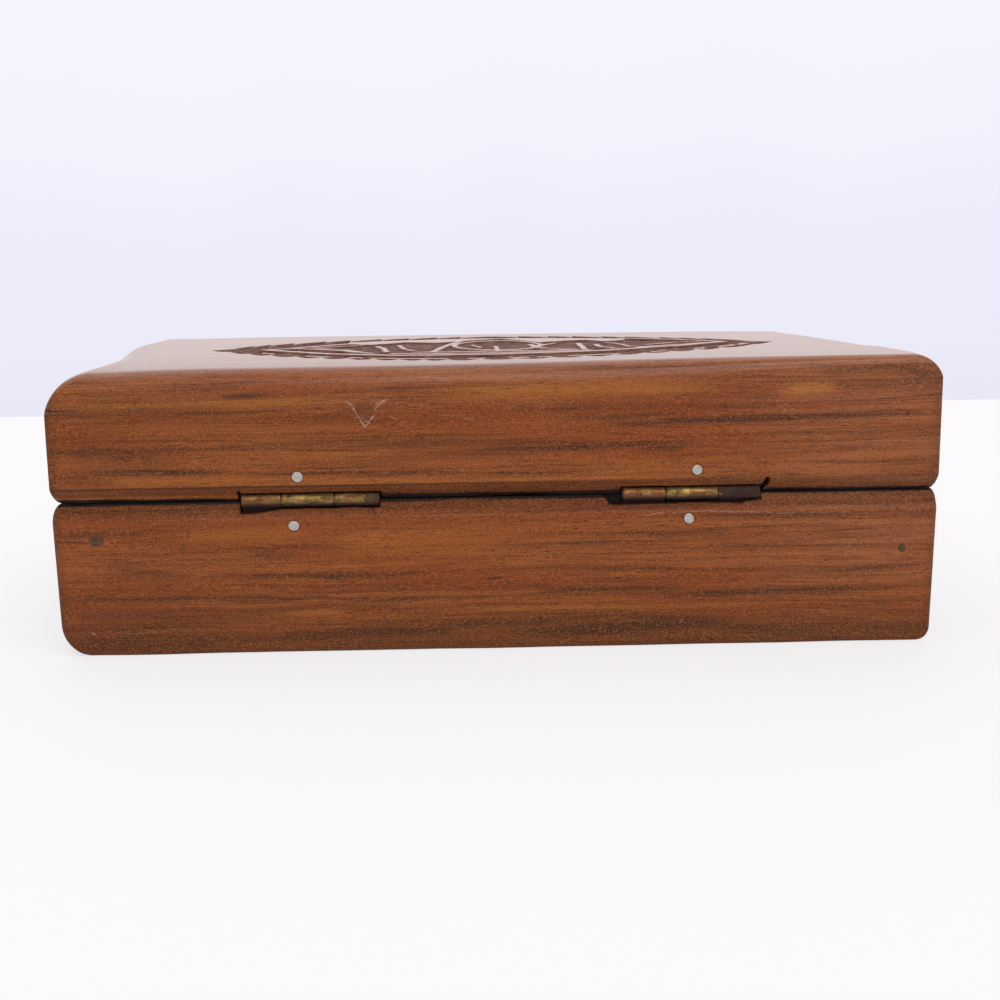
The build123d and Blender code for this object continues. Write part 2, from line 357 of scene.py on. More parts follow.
def make_stroke_group():
    """Thin straight scratch with round ends."""
    tree = bpy.data.node_groups.new("face_stroke", "ShaderNodeTree")
    names = ("X", "Z", "Start X", "Start Z", "End X", "End Z", "Half Width")
    x, z, start_x, start_z, end_x, end_z, half_width = group_inputs(tree, names)
    run_x, run_z = end_x - start_x, end_z - start_z
    from_x, from_z = x - start_x, z - start_z
    dot = from_x * run_x + from_z * run_z
    share = math_node("DIVIDE", dot, run_x * run_x + run_z * run_z, clamp=True)
    off_x, off_z = from_x - share * run_x, from_z - share * run_z
    spread = (off_x * off_x + off_z * off_z) / (half_width * half_width)
    group_output(tree, math_node("EXPONENT", spread * -1.0))
    return tree


def make_spot_group():
    """Round spot: 1 in the middle, half at its radius and 0 outside."""
    tree = bpy.data.node_groups.new("round_spot", "ShaderNodeTree")
    names = ("X", "Z", "Middle X", "Middle Z", "Radius", "Softness")
    x, z, middle_x, middle_z, radius, softness = group_inputs(tree, names)
    off_x, off_z = x - middle_x, z - middle_z
    distance = math_node("SQRT", off_x * off_x + off_z * off_z)
    group_output(tree, remap(distance, radius + softness, radius - softness))
    return tree


def group_mask(group, first, *others):
    """Instance of a mask group; its first input is a signal and the others are signals or numbers."""
    node = first.tree.nodes.new("ShaderNodeGroup")
    node.node_tree = group
    for target, source in zip(node.inputs, (first, *others)):
        feed(target, source)
    return Signal(node.outputs[0])


stroke_group = make_stroke_group()
spot_group = make_spot_group()

# Streaks of the back face: start X, start Z, end X, end Z, half width, strength
dark_bands = {
    "lid_left_broad": (73.7, 36.0, 56.1, 34.0, 1.53, 0.45),
    "lid_left_core": (71.2, 36.5, 56.9, 35.2, 0.51, 0.6),
    "lid_left_low": (67.5, 32.5, 47.2, 32.0, 0.54, 0.75),
    "lid_left_low_on": (39.7, 31.6, 21.0, 31.6, 0.43, 0.5),
    "lid_left_foot": (74.1, 31.2, 65.6, 30.9, 0.34, 0.4),
    "lid_smudge_high": (45.9, 45.0, 38.1, 45.2, 0.37, 0.75),
    "lid_smudge_faint": (50.9, 46.1, 43.6, 46.2, 0.43, 0.4),
    "lid_under_orange": (54.8, 42.2, 37.1, 42.4, 0.27, 0.5),
    "lid_middle_left": (43.3, 36.3, 20.9, 37.0, 0.51, 0.6),
    "lid_middle": (26.3, 36.5, 1.7, 36.6, 0.34, 0.6),
    "lid_middle_right": (0.9, 35.2, -30.6, 35.7, 0.54, 0.8),
    "lid_low_middle": (26.5, 31.2, 4.0, 31.5, 0.51, 0.5),
    "lid_low_middle_right": (3.5, 31.0, -17.9, 31.4, 0.34, 0.45),
    "lid_under_ochre": (-2.6, 41.8, -17.8, 41.9, 0.27, 0.5),
    "lid_under_ochre_right": (-11.1, 40.1, -31.4, 40.6, 0.43, 0.6),
    "lid_right_long": (-22.9, 39.1, -67.2, 40.0, 0.61, 0.95),
    "lid_right_thick": (-45.0, 39.7, -62.1, 39.7, 0.77, 0.6),
    "lid_right_spot": (-24.0, 34.6, -32.5, 34.8, 0.51, 0.6),
    "lid_right_dashes": (-54.6, 32.0, -61.7, 32.2, 0.20, 0.6),
    "lid_right_lower": (-33.3, 29.6, -50.4, 30.3, 0.51, 0.4),
    "lid_top_line": (-17.8, 48.0, -41.5, 48.6, 0.43, 0.45),
    "lid_top_grey": (-54.7, 47.5, -66.2, 48.0, 0.60, 0.5),
    "lid_end_grey": (-66.9, 48.1, -74.6, 46.3, 0.68, 0.5),
    "lid_curve_upper": (19.3, 44.2, 3.3, 42.6, 0.20, 0.45),
    "lid_curve_lower": (18.5, 42.4, 4.2, 42.3, 0.17, 0.4),
    "base_patch_left": (66.2, 15.6, 54.3, 14.3, 0.85, 0.55),
    "base_patch_middle": (43.5, 17.4, 34.7, 17.4, 0.51, 0.5),
    "base_line_left": (46.9, 13.8, 21.6, 13.8, 0.37, 0.6),
    "base_knot": (29.9, 13.5, 26.7, 13.4, 0.27, 1.0),
    "base_thread": (71.2, 10.4, 21.7, 9.6, 0.31, 0.85),
    "base_thread_thick": (51.4, 9.6, 34.1, 9.5, 0.60, 0.45),
    "base_grey_low": (70.9, 7.2, 39.8, 6.7, 0.85, 0.45),
    "base_foot_left": (74.0, 2.7, 49.2, 1.7, 1.02, 0.4),
    "base_foot_inner": (35.1, 3.6, 21.9, 3.1, 0.68, 0.8),
    "base_thread_on": (27.2, 9.3, 8.9, 9.5, 0.51, 0.65),
    "base_thread_middle": (9.9, 9.3, -10.9, 9.8, 0.31, 0.5),
    "base_thread_right": (-8.3, 10.0, -31.8, 10.1, 0.68, 0.75),
    "base_foot_middle": (29.2, 3.6, 8.3, 3.6, 1.02, 0.85),
    "base_foot_middle_on": (10.0, 4.5, -10.9, 4.6, 0.60, 0.5),
    "base_foot_right": (-7.4, 3.1, -38.8, 4.1, 1.10, 0.95),
    "base_knot_middle": (2.2, 12.7, -1.6, 12.8, 0.31, 0.9),
    "base_grey_spot": (-2.7, 17.8, -8.4, 18.0, 0.51, 0.35),
    "base_line_middle": (27.1, 13.4, 13.3, 13.8, 0.43, 0.45),
    "base_dash_middle": (-13.0, 18.6, -21.7, 18.8, 0.14, 0.8),
    "base_dash_foot": (-11.4, 5.9, -14.7, 6.0, 0.17, 0.7),
    "base_long_right": (-30.4, 9.2, -63.5, 9.7, 0.77, 0.85),
    "base_long_right_tail": (-23.1, 10.1, -35.3, 9.2, 0.51, 0.5),
    "base_foot_far_right": (-23.1, 5.3, -53.8, 2.1, 0.85, 0.7),
    "base_line_right": (-55.2, 12.9, -74.8, 13.7, 0.34, 0.6),
    "base_dash_right": (-56.9, 20.1, -64.8, 20.3, 0.15, 0.85),
    "base_rim_right": (-35.9, 22.8, -60.9, 22.8, 0.51, 0.45),
    "base_patch_right": (-37.2, 17.3, -49.3, 17.8, 0.51, 0.3),
    "base_fine_middle": (-0.6, 16.6, -30.0, 16.7, 0.20, 0.4),
    "base_fine_left": (63.0, 17.8, 44.2, 16.7, 0.24, 0.4),
}
ochre_bands = {
    "lid_orange_left": (71.2, 43.5, 29.8, 43.7, 0.68, 0.55),
    "lid_orange_low": (65.6, 30.7, 38.8, 30.4, 0.77, 0.6),
    "lid_orange_low_middle": (38.8, 29.9, -17.9, 29.9, 0.43, 0.45),
    "lid_ochre_middle": (5.8, 45.0, -28.8, 45.4, 1.36, 0.7),
    "lid_ochre_core": (-2.6, 45.0, -11.1, 45.2, 0.60, 0.5),
    "lid_ochre_core_right": (-18.7, 44.6, -29.3, 45.4, 1.02, 0.6),
    "lid_ochre_right": (-24.6, 44.5, -34.8, 45.0, 0.85, 0.5),
    "lid_ochre_far": (-49.4, 44.2, -57.1, 44.7, 1.02, 1.0),
    "lid_orange_right_low": (-24.7, 32.5, -41.8, 32.9, 0.51, 0.35),
    "base_orange_left": (54.6, 21.0, 33.7, 21.3, 1.36, 0.45),
    "base_orange_middle": (26.9, 19.0, -4.1, 20.2, 2.38, 0.35),
    "base_orange_line": (6.5, 7.3, -30.4, 7.3, 0.43, 0.5),
    "base_orange_low": (36.3, 7.0, 26.4, 7.3, 0.68, 0.55),
    "base_orange_foot_right": (-24.8, 7.2, -45.8, 7.2, 0.51, 0.4),
    "base_orange_thin": (27.0, 15.2, 8.0, 15.9, 0.34, 0.35),
}

# Scratches of the back face: start X, start Z, end X, end Z, half width, strength
pale_strokes = {
    "chip_left_high": (25.0, 43.7, 24.1, 43.1, 0.24, 0.52),
    "chip_left_arm": (23.9, 42.6, 22.0, 39.3, 0.15, 0.71),
    "chip_left_inner": (23.1, 41.1, 22.3, 39.9, 0.23, 0.45),
    "chip_right_low": (22.0, 39.3, 20.4, 41.4, 0.15, 0.71),
    "chip_right_high": (20.0, 43.1, 18.3, 43.9, 0.24, 0.56),
    "chip_right_flake": (20.4, 42.2, 19.2, 43.4, 0.18, 0.45),
    "chip_facet": (22.4, 41.1, 21.6, 40.2, 0.19, 0.38),
    "chip_hair": (20.6, 45.4, 20.0, 44.6, 0.07, 0.5),
    "trail_left": (18.0, 41.2, 16.5, 40.5, 0.08, 0.25),
    "trail_low": (16.2, 39.9, 14.4, 39.1, 0.08, 0.25),
    "trail_middle": (9.3, 41.2, 5.5, 40.9, 0.07, 0.30),
    "trail_end": (5.4, 40.6, 3.3, 40.4, 0.10, 0.35),
    "trail_curve": (17.3, 42.7, 9.2, 42.0, 0.06, 0.20),
    "rim_line_start": (-25.6, 23.2, -26.8, 23.3, 0.11, 0.50),
    "rim_line_left": (-26.8, 23.5, -28.9, 23.6, 0.10, 0.50),
    "rim_line_nail": (-30.2, 23.6, -37.1, 23.9, 0.08, 0.33),
    "rim_line_middle": (-37.1, 23.7, -47.1, 23.4, 0.08, 0.41),
    "rim_line_right": (-47.1, 23.2, -60.9, 23.2, 0.08, 0.33),
    "lid_hair_one": (-47.0, 42.7, -49.4, 40.8, 0.06, 0.25),
    "lid_hair_two": (-47.7, 42.9, -50.1, 40.4, 0.06, 0.23),
    "lid_hair_three": (-48.7, 42.3, -51.0, 40.9, 0.06, 0.20),
    "lid_hair_four": (-54.5, 37.5, -58.1, 35.2, 0.06, 0.20),
    "lid_hatch_one": (-68.3, 45.9, -70.7, 44.7, 0.06, 0.23),
    "lid_hatch_two": (-69.6, 46.4, -72.4, 44.6, 0.06, 0.23),
    "lid_hatch_three": (-71.0, 46.5, -73.6, 45.0, 0.06, 0.20),
    "base_hair_one": (21.7, 20.2, 19.1, 22.1, 0.06, 0.25),
    "base_hair_two": (20.7, 19.8, 18.4, 21.7, 0.06, 0.20),
    "base_fleck": (70.6, 4.3, 70.1, 4.1, 0.11, 0.8),
}
dark_strokes = {
    # the two chip hollow strokes are painted shade in the hollow of the chip
    "chip_hollow_shade": (22.9, 42.4, 21.2, 42.3, 0.95, 0.30),
    "chip_hollow_low_shade": (22.4, 41.2, 21.8, 41.0, 0.60, 0.35),
    "glue_left": (75.6, 43.0, 73.6, 43.0, 0.08, 1.0),
    "glue_left_on": (73.6, 43.0, 70.7, 43.0, 0.06, 0.6),
    "glue_right": (-65.4, 42.6, -75.8, 43.1, 0.07, 0.8),
    "glue_right_on": (-41.6, 42.0, -65.4, 42.6, 0.06, 0.4),
    "end_crack": (75.5, 20.6, 70.4, 20.2, 0.07, 1.0),
    "pin_hole_upper": (-69.1, 23.8, -69.2, 23.5, 0.12, 1.0),
    "pin_hole_lower": (-68.6, 22.5, -68.7, 22.3, 0.10, 0.9),
    "notch_crack_left": (21.4, 25.5, 20.6, 24.4, 0.11, 1.0),
    "notch_crack_middle": (-19.2, 26.6, -20.5, 24.5, 0.07, 0.9),
    "notch_crack_right": (-42.2, 25.8, -42.3, 24.6, 0.07, 0.9),
    "lid_notch_crack": (43.8, 29.5, 43.6, 28.6, 0.07, 0.8),
}


def sway(x, z, x_size, z_size, seed):
    """Noise from minus a half to a half over the back face."""
    return value_noise(x / x_size, z / z_size, 0.0, seed) - 0.5


def band_mask(x, z, bands, seed):
    """Strongest of the named streaks at points of the back face; each fades towards both of its ends."""
    slow_sway, fine_sway = 0.30, 0.45
    end_fade, faintest = 0.92, 50.0
    z = z + slow_sway * sway(x, z, 20, 3, seed) + fine_sway * sway(x, z, 6, 0.5, seed + 1)
    total = np.zeros_like(x)
    for start_x, start_z, end_x, end_z, half_width, strength in bands.values():
        dx, dz = end_x - start_x, end_z - start_z
        t = ((x - start_x) * dx + (z - start_z) * dz) / (dx * dx + dz * dz)
        away = np.hypot(x - start_x - t * dx, z - start_z - t * dz) / half_width
        run = np.abs(2.0 * t - 1.0) * end_fade
        total = np.maximum(total, strength * np.exp(-np.minimum(run**4 + away**2, faintest)))
    return total


def face_marks(place, marks, jitter):
    """Strongest of the named strokes at each place of the back face."""
    x, _, z = place
    bent_z = z + jitter
    return strongest(*(
        group_mask(stroke_group, x, bent_z, *ends_and_width) * strength
        for *ends_and_width, strength in marks.values()
    ))


def nail_rings(place):
    """Dark rings where the nail ends meet the wood."""
    ring_width, softness = 0.14, 0.12
    x, _, z = place
    rings = []
    for node in hinge_nails:
        low, high = node_box(node)
        middle_x, _, middle_z = (low + high) / 2
        radius = (high[0] - low[0]) / 2 + ring_width
        rings.append(group_mask(spot_group, x, z, middle_x, middle_z, radius, softness))
    return strongest(*rings)


# Masks by depth from the front: where they are 0 and where they are 1
outer_depths = (half_depth - 6.0, half_depth - 4.0)
joint_depths = (half_depth - 4.8, half_depth - 2.8)
stain_depths = (half_depth - 4.0, half_depth - 1.0)
mark_depths = (half_depth - 3.4, half_depth - 1.8)
notch_shade_depths = (half_depth - 1.55, half_depth - 2.05)

# Joint between lid and base: its dark line of painted shade in the gap, the painted shade of the bevels, and
# the painted shade in the crease over the lid's bevel
joint_line = (0.76, 0.42)
joint_line_by_grit = 1.8
joint_line_by_streak = 1.6
base_bevel_shade_up = (rim_low_z - 3.4, rim_low_z - 1.6)
lid_bevel_shade_up = (rim_high_z + 2.9, rim_high_z + 2.0)
rim_softness = 0.1
crease_z = rim_high_z + 2.45
crease_line = (0.30, 0.08)
lid_edge_z = rim_high_z + 0.65
lid_edge_line = (0.60, 0.10)


def notch_shade(place, jitter):
    """Painted shade at the bottom of the notches that hold the barrels."""
    height_above_axis = (4.0, 3.4)
    beside_pin, softness = 4.0, 0.3
    full_share = 0.95
    x, y, z = place
    deep = remap(y + jitter, *notch_shade_depths) * remap(absolute(z - rim_z), *height_above_axis)
    here = [
        span_mask(x, low - beside_pin, high + beside_pin, softness)
        for low, high in hinge_spans.values()
    ]
    return deep * strongest(*here) * remap(y, *outer_depths) * full_share


def joint_shade(place, jitter, streak):
    """Painted shade at the joint: a dark line in the gap between lid and base, the bevels on both sides of
    it and the crease over the lid's bevel.
    """
    _, y, z = place
    uneven = jitter * joint_line_by_grit + (streak - 0.5) * joint_line_by_streak
    line = remap(absolute(z - rim_z) + uneven, *joint_line) * remap(y, *joint_depths)
    outer = remap(y, *outer_depths)
    below = remap(z, rim_z + rim_softness, rim_z - rim_softness)
    above = remap(z, rim_z - rim_softness, rim_z + rim_softness)
    base_bevel_shade = remap(z + jitter, *base_bevel_shade_up) * below * outer
    lid_bevel_shade = remap(z + jitter * 0.5, *lid_bevel_shade_up) * above * outer
    crease = remap(absolute(z - crease_z) + jitter * 0.15, *crease_line) * outer
    return line, base_bevel_shade, lid_bevel_shade, crease


wood_light = (0.335, 0.094, 0.020)
wood_middle = (0.190, 0.046, 0.008)
wood_red = (0.240, 0.046, 0.007)
wood_dark = (0.052, 0.019, 0.008)
pore_and_crease_shade = (0.028, 0.011, 0.006)
wood_ochre = (0.480, 0.170, 0.024)
wood_pale = (0.66, 0.42, 0.32)
wood_speck = (0.43, 0.145, 0.040)
crack_and_shade_dark = (0.012, 0.007, 0.006)
painted_light_tint = (0.36, 0.150, 0.085)
ground_painted_shade = (0.070, 0.020, 0.012)
ground_painted_sheen = (0.40, 0.205, 0.145)
wood_inside = (0.26, 0.115, 0.055)

# Noises of the wood: scales along the grain, across it and upwards, detail, roughness
wood_noises = {
    "broad": ((0.008, 0.10, 0.20), 3.0, 0.55),
    "streak": ((0.020, 0.45, 0.85), 5.0, 0.65),
    "fibre": ((0.06, 1.8, 3.8), 4.0, 0.65),
    "hair": ((0.25, 5.0, 9.0), 2.0, 0.6),
    "speck": ((2.8, 6.0, 6.4), 2.0, 0.75),
    "pores": ((0.55, 4.2, 6.5), 1.5, 0.5),
    "tone": ((0.02, 0.08, 0.11), 2.0, 0.5),
}
bend_scales = (0.012, 0.05, 0.06)
bend_size = 2.4
seed_shift = 37.0

# Make-up of the wood's tone, roughness and relief
tone_weights = {"broad": 0.26, "streak": 0.36, "fibre": 0.38}
tone_range = (0.42, 0.59)
wood_roughness = 0.34
fibre_roughness = 0.14
mark_roughness = 0.25
ground_roughness = 0.62
inner_roughness = 0.25
fibre_height = 0.35
hair_height = 0.25
pore_depth = 0.5
bevel_bump_height = 2.0
ground_height = 1.8
wood_bump = 0.05
wood_gloss = 0.20
carved_gloss = 0.26
inner_share = 0.5
pore_range = (0.64, 0.72)

# Colours that follow a noise: its name, where they start, where they are full, full share, colour
broad_layers = (
    ("tone", 0.44, 0.62, 0.70, wood_red),
    ("streak", 0.47, 0.33, 0.42, wood_dark),
    ("fibre", 0.45, 0.30, 0.30, wood_dark),
)
fine_layers = (
    ("hair", 0.52, 0.34, 0.34, wood_dark),
    ("speck", 0.51, 0.70, 0.80, wood_speck),
    ("speck", 0.47, 0.27, 0.78, wood_dark),
    ("pores", *pore_range, 0.75, pore_and_crease_shade),
)

# Ranges of the wood's masks: from, to, and the shares at both, which are 0 and 1 where left out
foot_shade = (9.0, 1.0, 0.0, 0.58)
upright_shade = (half_length - 2.6, half_length - 0.4, 0.0, 0.45)
plus_shade = (28.0, 60.0, 0.0, 0.12)
side_light_along = (-28.0, -66.0)
side_light_up = (4.0, 18.0)
side_light_by_streak = (0.40, 0.60, 0.10, 0.34)
top_sheen_up = (44.5, 48.5)
top_sheen_by_fibre = (0.35, 0.60, 0.10, 0.38)
dark_band_by_fibre = (0.62, 0.40, 0.72, 1.35)
base_bevel_shade_by_speck = (0.32, 0.62, 0.85, 0.17)
lid_bevel_shade_by_speck = (0.35, 0.60, 0.55, 0.18)
edge_along = (30.0, 44.0)
edge_by_speck = (0.35, 0.60, 0.0, 0.75)
crease_along = (-50.0, 25.0, 0.15, 0.62)
pale_by_speck = (0.42, 0.58, 0.12, 0.90)
rings_by_speck = (0.30, 0.60, 0.9, 0.35)
ground_by_depth = (0.03, 0.16, 0.0, 0.95)
cut_noise = ((0.22, 1.3, 10.0), 3.0, 0.6)
sheen_by_cuts = (0.48, 0.63, 0.0, 0.62)
polish_up = (45.0, 49.0, 0.0, 0.26)
calm_up = (44.0, 48.5, 1.0, 0.10)


def noises_at(place, settings):
    """Named noises from their scales, detail and roughness."""
    return {name: noise(place, *values) for name, values in settings.items()}


def wood_grain(place, along_y, seed):
    """Named noises drawn out along the grain, and how far the grain bends."""
    x, y, z = place
    if along_y:
        x, y = y, x
    bend = (noise((x, y, z), bend_scales) - 0.5) * bend_size
    bent = (x + seed * seed_shift, y + bend, z + bend)
    return noises_at(bent, wood_noises), bend


def noise_layers(grain, layers):
    """Shares and colours of layers that follow the wood's noises."""
    return [(remap(grain[name], start, full, 0.0, share), tint) for name, start, full, share, tint in layers]


def stain_back(colour, place, grain, bend):
    """Streaks, shades and painted light of the back face: painted sheen along the top edge, painted light
    over the -X end of the base and painted shade over the +X end.
    """
    ochre_share, darkest = 0.80, 0.92
    x, y, z = place
    fibre = grain["fibre"]
    at_back = remap(y, *stain_depths)
    ragged = bend * 0.20 + (fibre - 0.5) + (grain["hair"] - 0.5) * 0.4
    # painted light: the -X end of the base lighter and greyer, and a painted sheen band along the top edge
    side_painted_light = remap(x, *side_light_along) * remap(z, *side_light_up) * remap(grain["streak"], *side_light_by_streak)
    top_painted_sheen = remap(z, *top_sheen_up) * remap(fibre, *top_sheen_by_fibre)
    dark = attribute_value(colour.tree, "dark_band") * at_back * remap(fibre, *dark_band_by_fibre)
    return paint(colour, (
        (attribute_value(colour.tree, "ochre_band") * at_back * ochre_share, wood_ochre),
        (remap(z + ragged * 2.0, *foot_shade) * at_back, wood_dark),
        (remap(absolute(x) + ragged, *upright_shade) * at_back, wood_dark),
        # painted shade: the +X end darker, as if lit less from that side
        (remap(x, *plus_shade) * at_back, wood_dark),
        (strongest(side_painted_light, top_painted_sheen) * at_back, painted_light_tint),
        (math_node("MINIMUM", dark, darkest), wood_dark),
    ))


def mark_back(colour, place, grain):
    """Painted shade in the joint, bevels, crease, notches and chip, with scratches and cracks of the back
    face; returns the colour, the pale marks and the base bevel's painted shade.
    """
    x, y, z = place
    speck = grain["speck"]
    on_face = remap(y, *mark_depths)
    jitter = (speck - 0.5) * 0.28
    line, base_bevel_shade, lid_bevel_shade, crease = joint_shade(place, jitter, grain["streak"])
    lid_edge = remap(absolute(z - lid_edge_z), *lid_edge_line) * remap(x, *edge_along)
    pale = face_marks(place, pale_strokes, jitter) * on_face * remap(speck, *pale_by_speck)
    rings = nail_rings(place) * remap(speck, *rings_by_speck)
    cracks_and_chip_shade = strongest(face_marks(place, dark_strokes, jitter), rings) * on_face
    # bevel bands, crease, joint gap, notch floors and chip hollow are painted shade; the lid's lighter edge
    # and the pale scratches are wear
    colour = paint(colour, (
        (base_bevel_shade * remap(speck, *base_bevel_shade_by_speck), wood_dark),
        (lid_bevel_shade * remap(speck, *lid_bevel_shade_by_speck), wood_dark),
        (lid_edge * remap(speck, *edge_by_speck), wood_speck),
        (crease * remap(x, *crease_along), pore_and_crease_shade),
        (pale, wood_pale),
        (strongest(cracks_and_chip_shade, line, notch_shade(place, jitter)), crack_and_shade_dark),
    ))
    return colour, pale, base_bevel_shade


def inner_faces(place):
    """1 on the faces inside the box, which are left unpolished."""
    skin = 0.3
    x, y, z = place
    inside = remap(absolute(x), inner_half_length + skin, inner_half_length)
    inside = inside * remap(absolute(y), inner_half_depth + skin, inner_half_depth)
    return inside * remap(z, glue_z + 0.3, glue_z + 0.1)


def wood_material(name, along_y=False, with_marks=False, carved=False, seed=0.0):
    """Reddish-brown close-grained hardwood with dark streaks and pores, waxed to a satin sheen."""
    material, tree, shader = new_material(name)
    place = place_coordinates(tree)
    grain, bend = wood_grain(place, along_y, seed)
    fibre = grain["fibre"]
    level = sum(grain[noise_name] * weight for noise_name, weight in tone_weights.items())
    colour = mix_colour(remap(level, *tone_range), wood_middle, wood_light)
    colour = paint(colour, noise_layers(grain, broad_layers))
    if with_marks:
        colour = stain_back(colour, place, grain, bend)
    colour = paint(colour, noise_layers(grain, fine_layers))
    roughness = fibre * fibre_roughness + wood_roughness
    height = fibre * fibre_height + grain["hair"] * hair_height
    height = height - remap(grain["pores"], *pore_range) * pore_depth
    # The back's marks bring painted shade; the base bevel's shaded band also roughens and raises the bump
    # there
    if with_marks:
        colour, pale, bevel_shade_mask = mark_back(colour, place, grain)
        roughness = roughness + strongest(pale, bevel_shade_mask) * mark_roughness
        height = height + grain["speck"] * bevel_shade_mask * bevel_bump_height
    if carved:
        # The carved ground is painted dark as painted shade, with pale streaks along a chisel-like noise as
        # painted sheen
        ground = remap(attribute_value(tree, "cut_depth"), *ground_by_depth)
        cut_sheen = remap(noise(place, *cut_noise), *sheen_by_cuts)
        colour = mix_colour(ground, colour, mix_colour(cut_sheen, ground_painted_shade, ground_painted_sheen))
        roughness = roughness - remap(place[2], *polish_up) + ground * ground_roughness
        height = height * (remap(place[2], *calm_up) + ground * ground_height)
    dull = inner_faces(place)
    colour = mix_colour(dull * inner_share, colour, wood_inside)
    dress_shader(shader, colour, roughness + dull * inner_roughness, height, wood_bump)
    shader.inputs["Specular IOR Level"].default_value = carved_gloss if carved else wood_gloss
    return material


brass_bright = (0.46, 0.31, 0.10)
brass_olive = (0.17, 0.105, 0.035)
brass_brown = (0.29, 0.115, 0.040)
brass_dirt_and_shade = (0.026, 0.012, 0.014)

# Tarnish of each knuckle, from the plus end of the right hinge on: low X, high X, brown share, dirt share
knuckle_tarnish = {
    "right_first": (36.4, 43.8, 0.75, 0.15),
    "right_middle": (27.3, 36.3, 0.10, 0.0),
    "right_last": (22.6, 27.2, 0.45, 0.25),
    "right_blob": (19.0, 22.9, 0.6, 0.80),
    "left_first": (-29.2, -21.5, 0.85, 0.05),
    "left_middle": (-33.0, -29.3, 0.0, 0.0),
    "left_middle_end": (-38.2, -33.0, 0.55, 0.15),
    "left_last": (-46.0, -38.3, 0.5, 0.92),
}
tarnish_softness = 0.35

# Painted shade of the brass: height under and over the axis, and depth on the plate, each with its shares
under_barrel_shade = (0.35, -0.80, 0.0, 0.97)
over_barrel_shade = (0.95, 1.15, 0.0, 0.90)
plate_kerf_shade = (axis_y - 0.35, axis_y - 0.65, 0.0, 0.95)
dirt_spots = (0.53, 0.38, 0.0, 0.70)
brown_by_patches = (0.30, 0.55, 1.25, 0.7)
bright_by_patches = (0.43, 0.64)
metal_by_dirt_and_shade = (0.0, 1.0, 0.85, 0.10)
brass_noises = {
    "patches": ((0.45, 0.9, 0.9), 4.0, 0.6),
    "grit": ((2.5, 3.5, 3.5), 3.0, 0.65),
    "rub": ((0.5, 6.0, 6.0), 2.0, 0.5),
}
brass_bump = 0.05
brass_gloss = 0.2


def brass_material():
    """Aged olive-gold brass, rubbed bright on some knuckles and tarnished dark on others, with painted shade
    under and over the barrels and on the plates in the kerfs.
    """
    material, tree, shader = new_material("aged_brass")
    place = place_coordinates(tree)
    x, y, z = place
    patches, grit, rub = noises_at(place, brass_noises).values()
    bent_x = x + (patches - 0.5) * 3.4 + (grit - 0.5) * 2.6
    brown, dirt = [], []
    for low, high, brown_share, dirt_share in knuckle_tarnish.values():
        here = span_mask(bent_x, low, high, tarnish_softness)
        brown.append(here * brown_share)
        dirt.append(here * dirt_share)
    from_axis = z + (grit - 0.5) * 0.5 - axis_z
    # knuckle dirt and dirt spots, with painted shade under and over the barrel and on the plate
    dirt_and_shade = strongest(
        sum(dirt), remap(patches * 0.4 + grit * 0.6, *dirt_spots), remap(from_axis, *under_barrel_shade),
        remap(from_axis, *over_barrel_shade), remap(y, *plate_kerf_shade),
    )
    colour = mix_colour(remap(patches, *bright_by_patches), brass_olive, brass_bright)
    colour = mix_colour(sum(brown) * remap(patches, *brown_by_patches), colour, brass_brown)
    colour = mix_colour(dirt_and_shade, colour, brass_dirt_and_shade)
    roughness = rub * 0.15 + dirt_and_shade * 0.35 + 0.32
    dress_shader(shader, colour, roughness, grit + rub * 0.6, brass_bump)
    feed(shader.inputs["Metallic"], remap(dirt_and_shade, *metal_by_dirt_and_shade))
    shader.inputs["Specular IOR Level"].default_value = brass_gloss
    return material


steel_dark = (0.42, 0.375, 0.335)
steel_bright = (0.60, 0.545, 0.50)
steel_rust = (0.26, 0.17, 0.12)
steel_metallic = 0.3
steel_noises = {"lines": ((1.2, 1.5, 9.0), 3.0, 0.6), "spots": ((1.1, 1.1, 1.1), 3.0, 0.6)}


def steel_material():
    """Dull filed steel of the nail ends and pins."""
    material, tree, shader = new_material("filed_steel")
    place = place_coordinates(tree)
    lines, spots = noises_at(place, steel_noises).values()
    colour = mix_colour(remap(lines, 0.3, 0.7), steel_dark, steel_bright)
    colour = mix_colour(remap(spots, 0.60, 0.74, 0.0, 0.6), colour, steel_rust)
    dress_shader(shader, colour, lines * 0.25 + 0.42, lines, 0.03)
    shader.inputs["Metallic"].default_value = steel_metallic
    return material


filler_dark = (0.062, 0.030, 0.017)
filler_light = (0.135, 0.062, 0.030)
filler_gloss = 0.25
filler_noises = {"mottle": ((0.7, 2.2, 2.2), 4.0, 0.65), "grain": ((0.4, 6.0, 8.0), 2.0, 0.6)}


def filler_material():
    """Brown-grey filler over the sunk nails, close to the wood's own colour."""
    material, tree, shader = new_material("nail_filler")
    place = place_coordinates(tree)
    mottle, grain = noises_at(place, filler_noises).values()
    colour = mix_colour(remap(mottle, 0.3, 0.7), filler_dark, filler_light)
    colour = mix_colour(remap(grain, 0.5, 0.3, 0.0, 0.5), colour, wood_dark)
    dress_shader(shader, colour, mottle * 0.3 + 0.45, mottle, 0.06)
    shader.inputs["Specular IOR Level"].default_value = filler_gloss
    return material


# Mesh building
sharp_degrees = 40.0
same_place = 1e-4
least_ramp_lines = 3


def ramp_count(reach, step):
    """Number of lines in a stretch whose widest gap is about one step."""
    return max(least_ramp_lines, math.ceil(2.0 * reach / step))


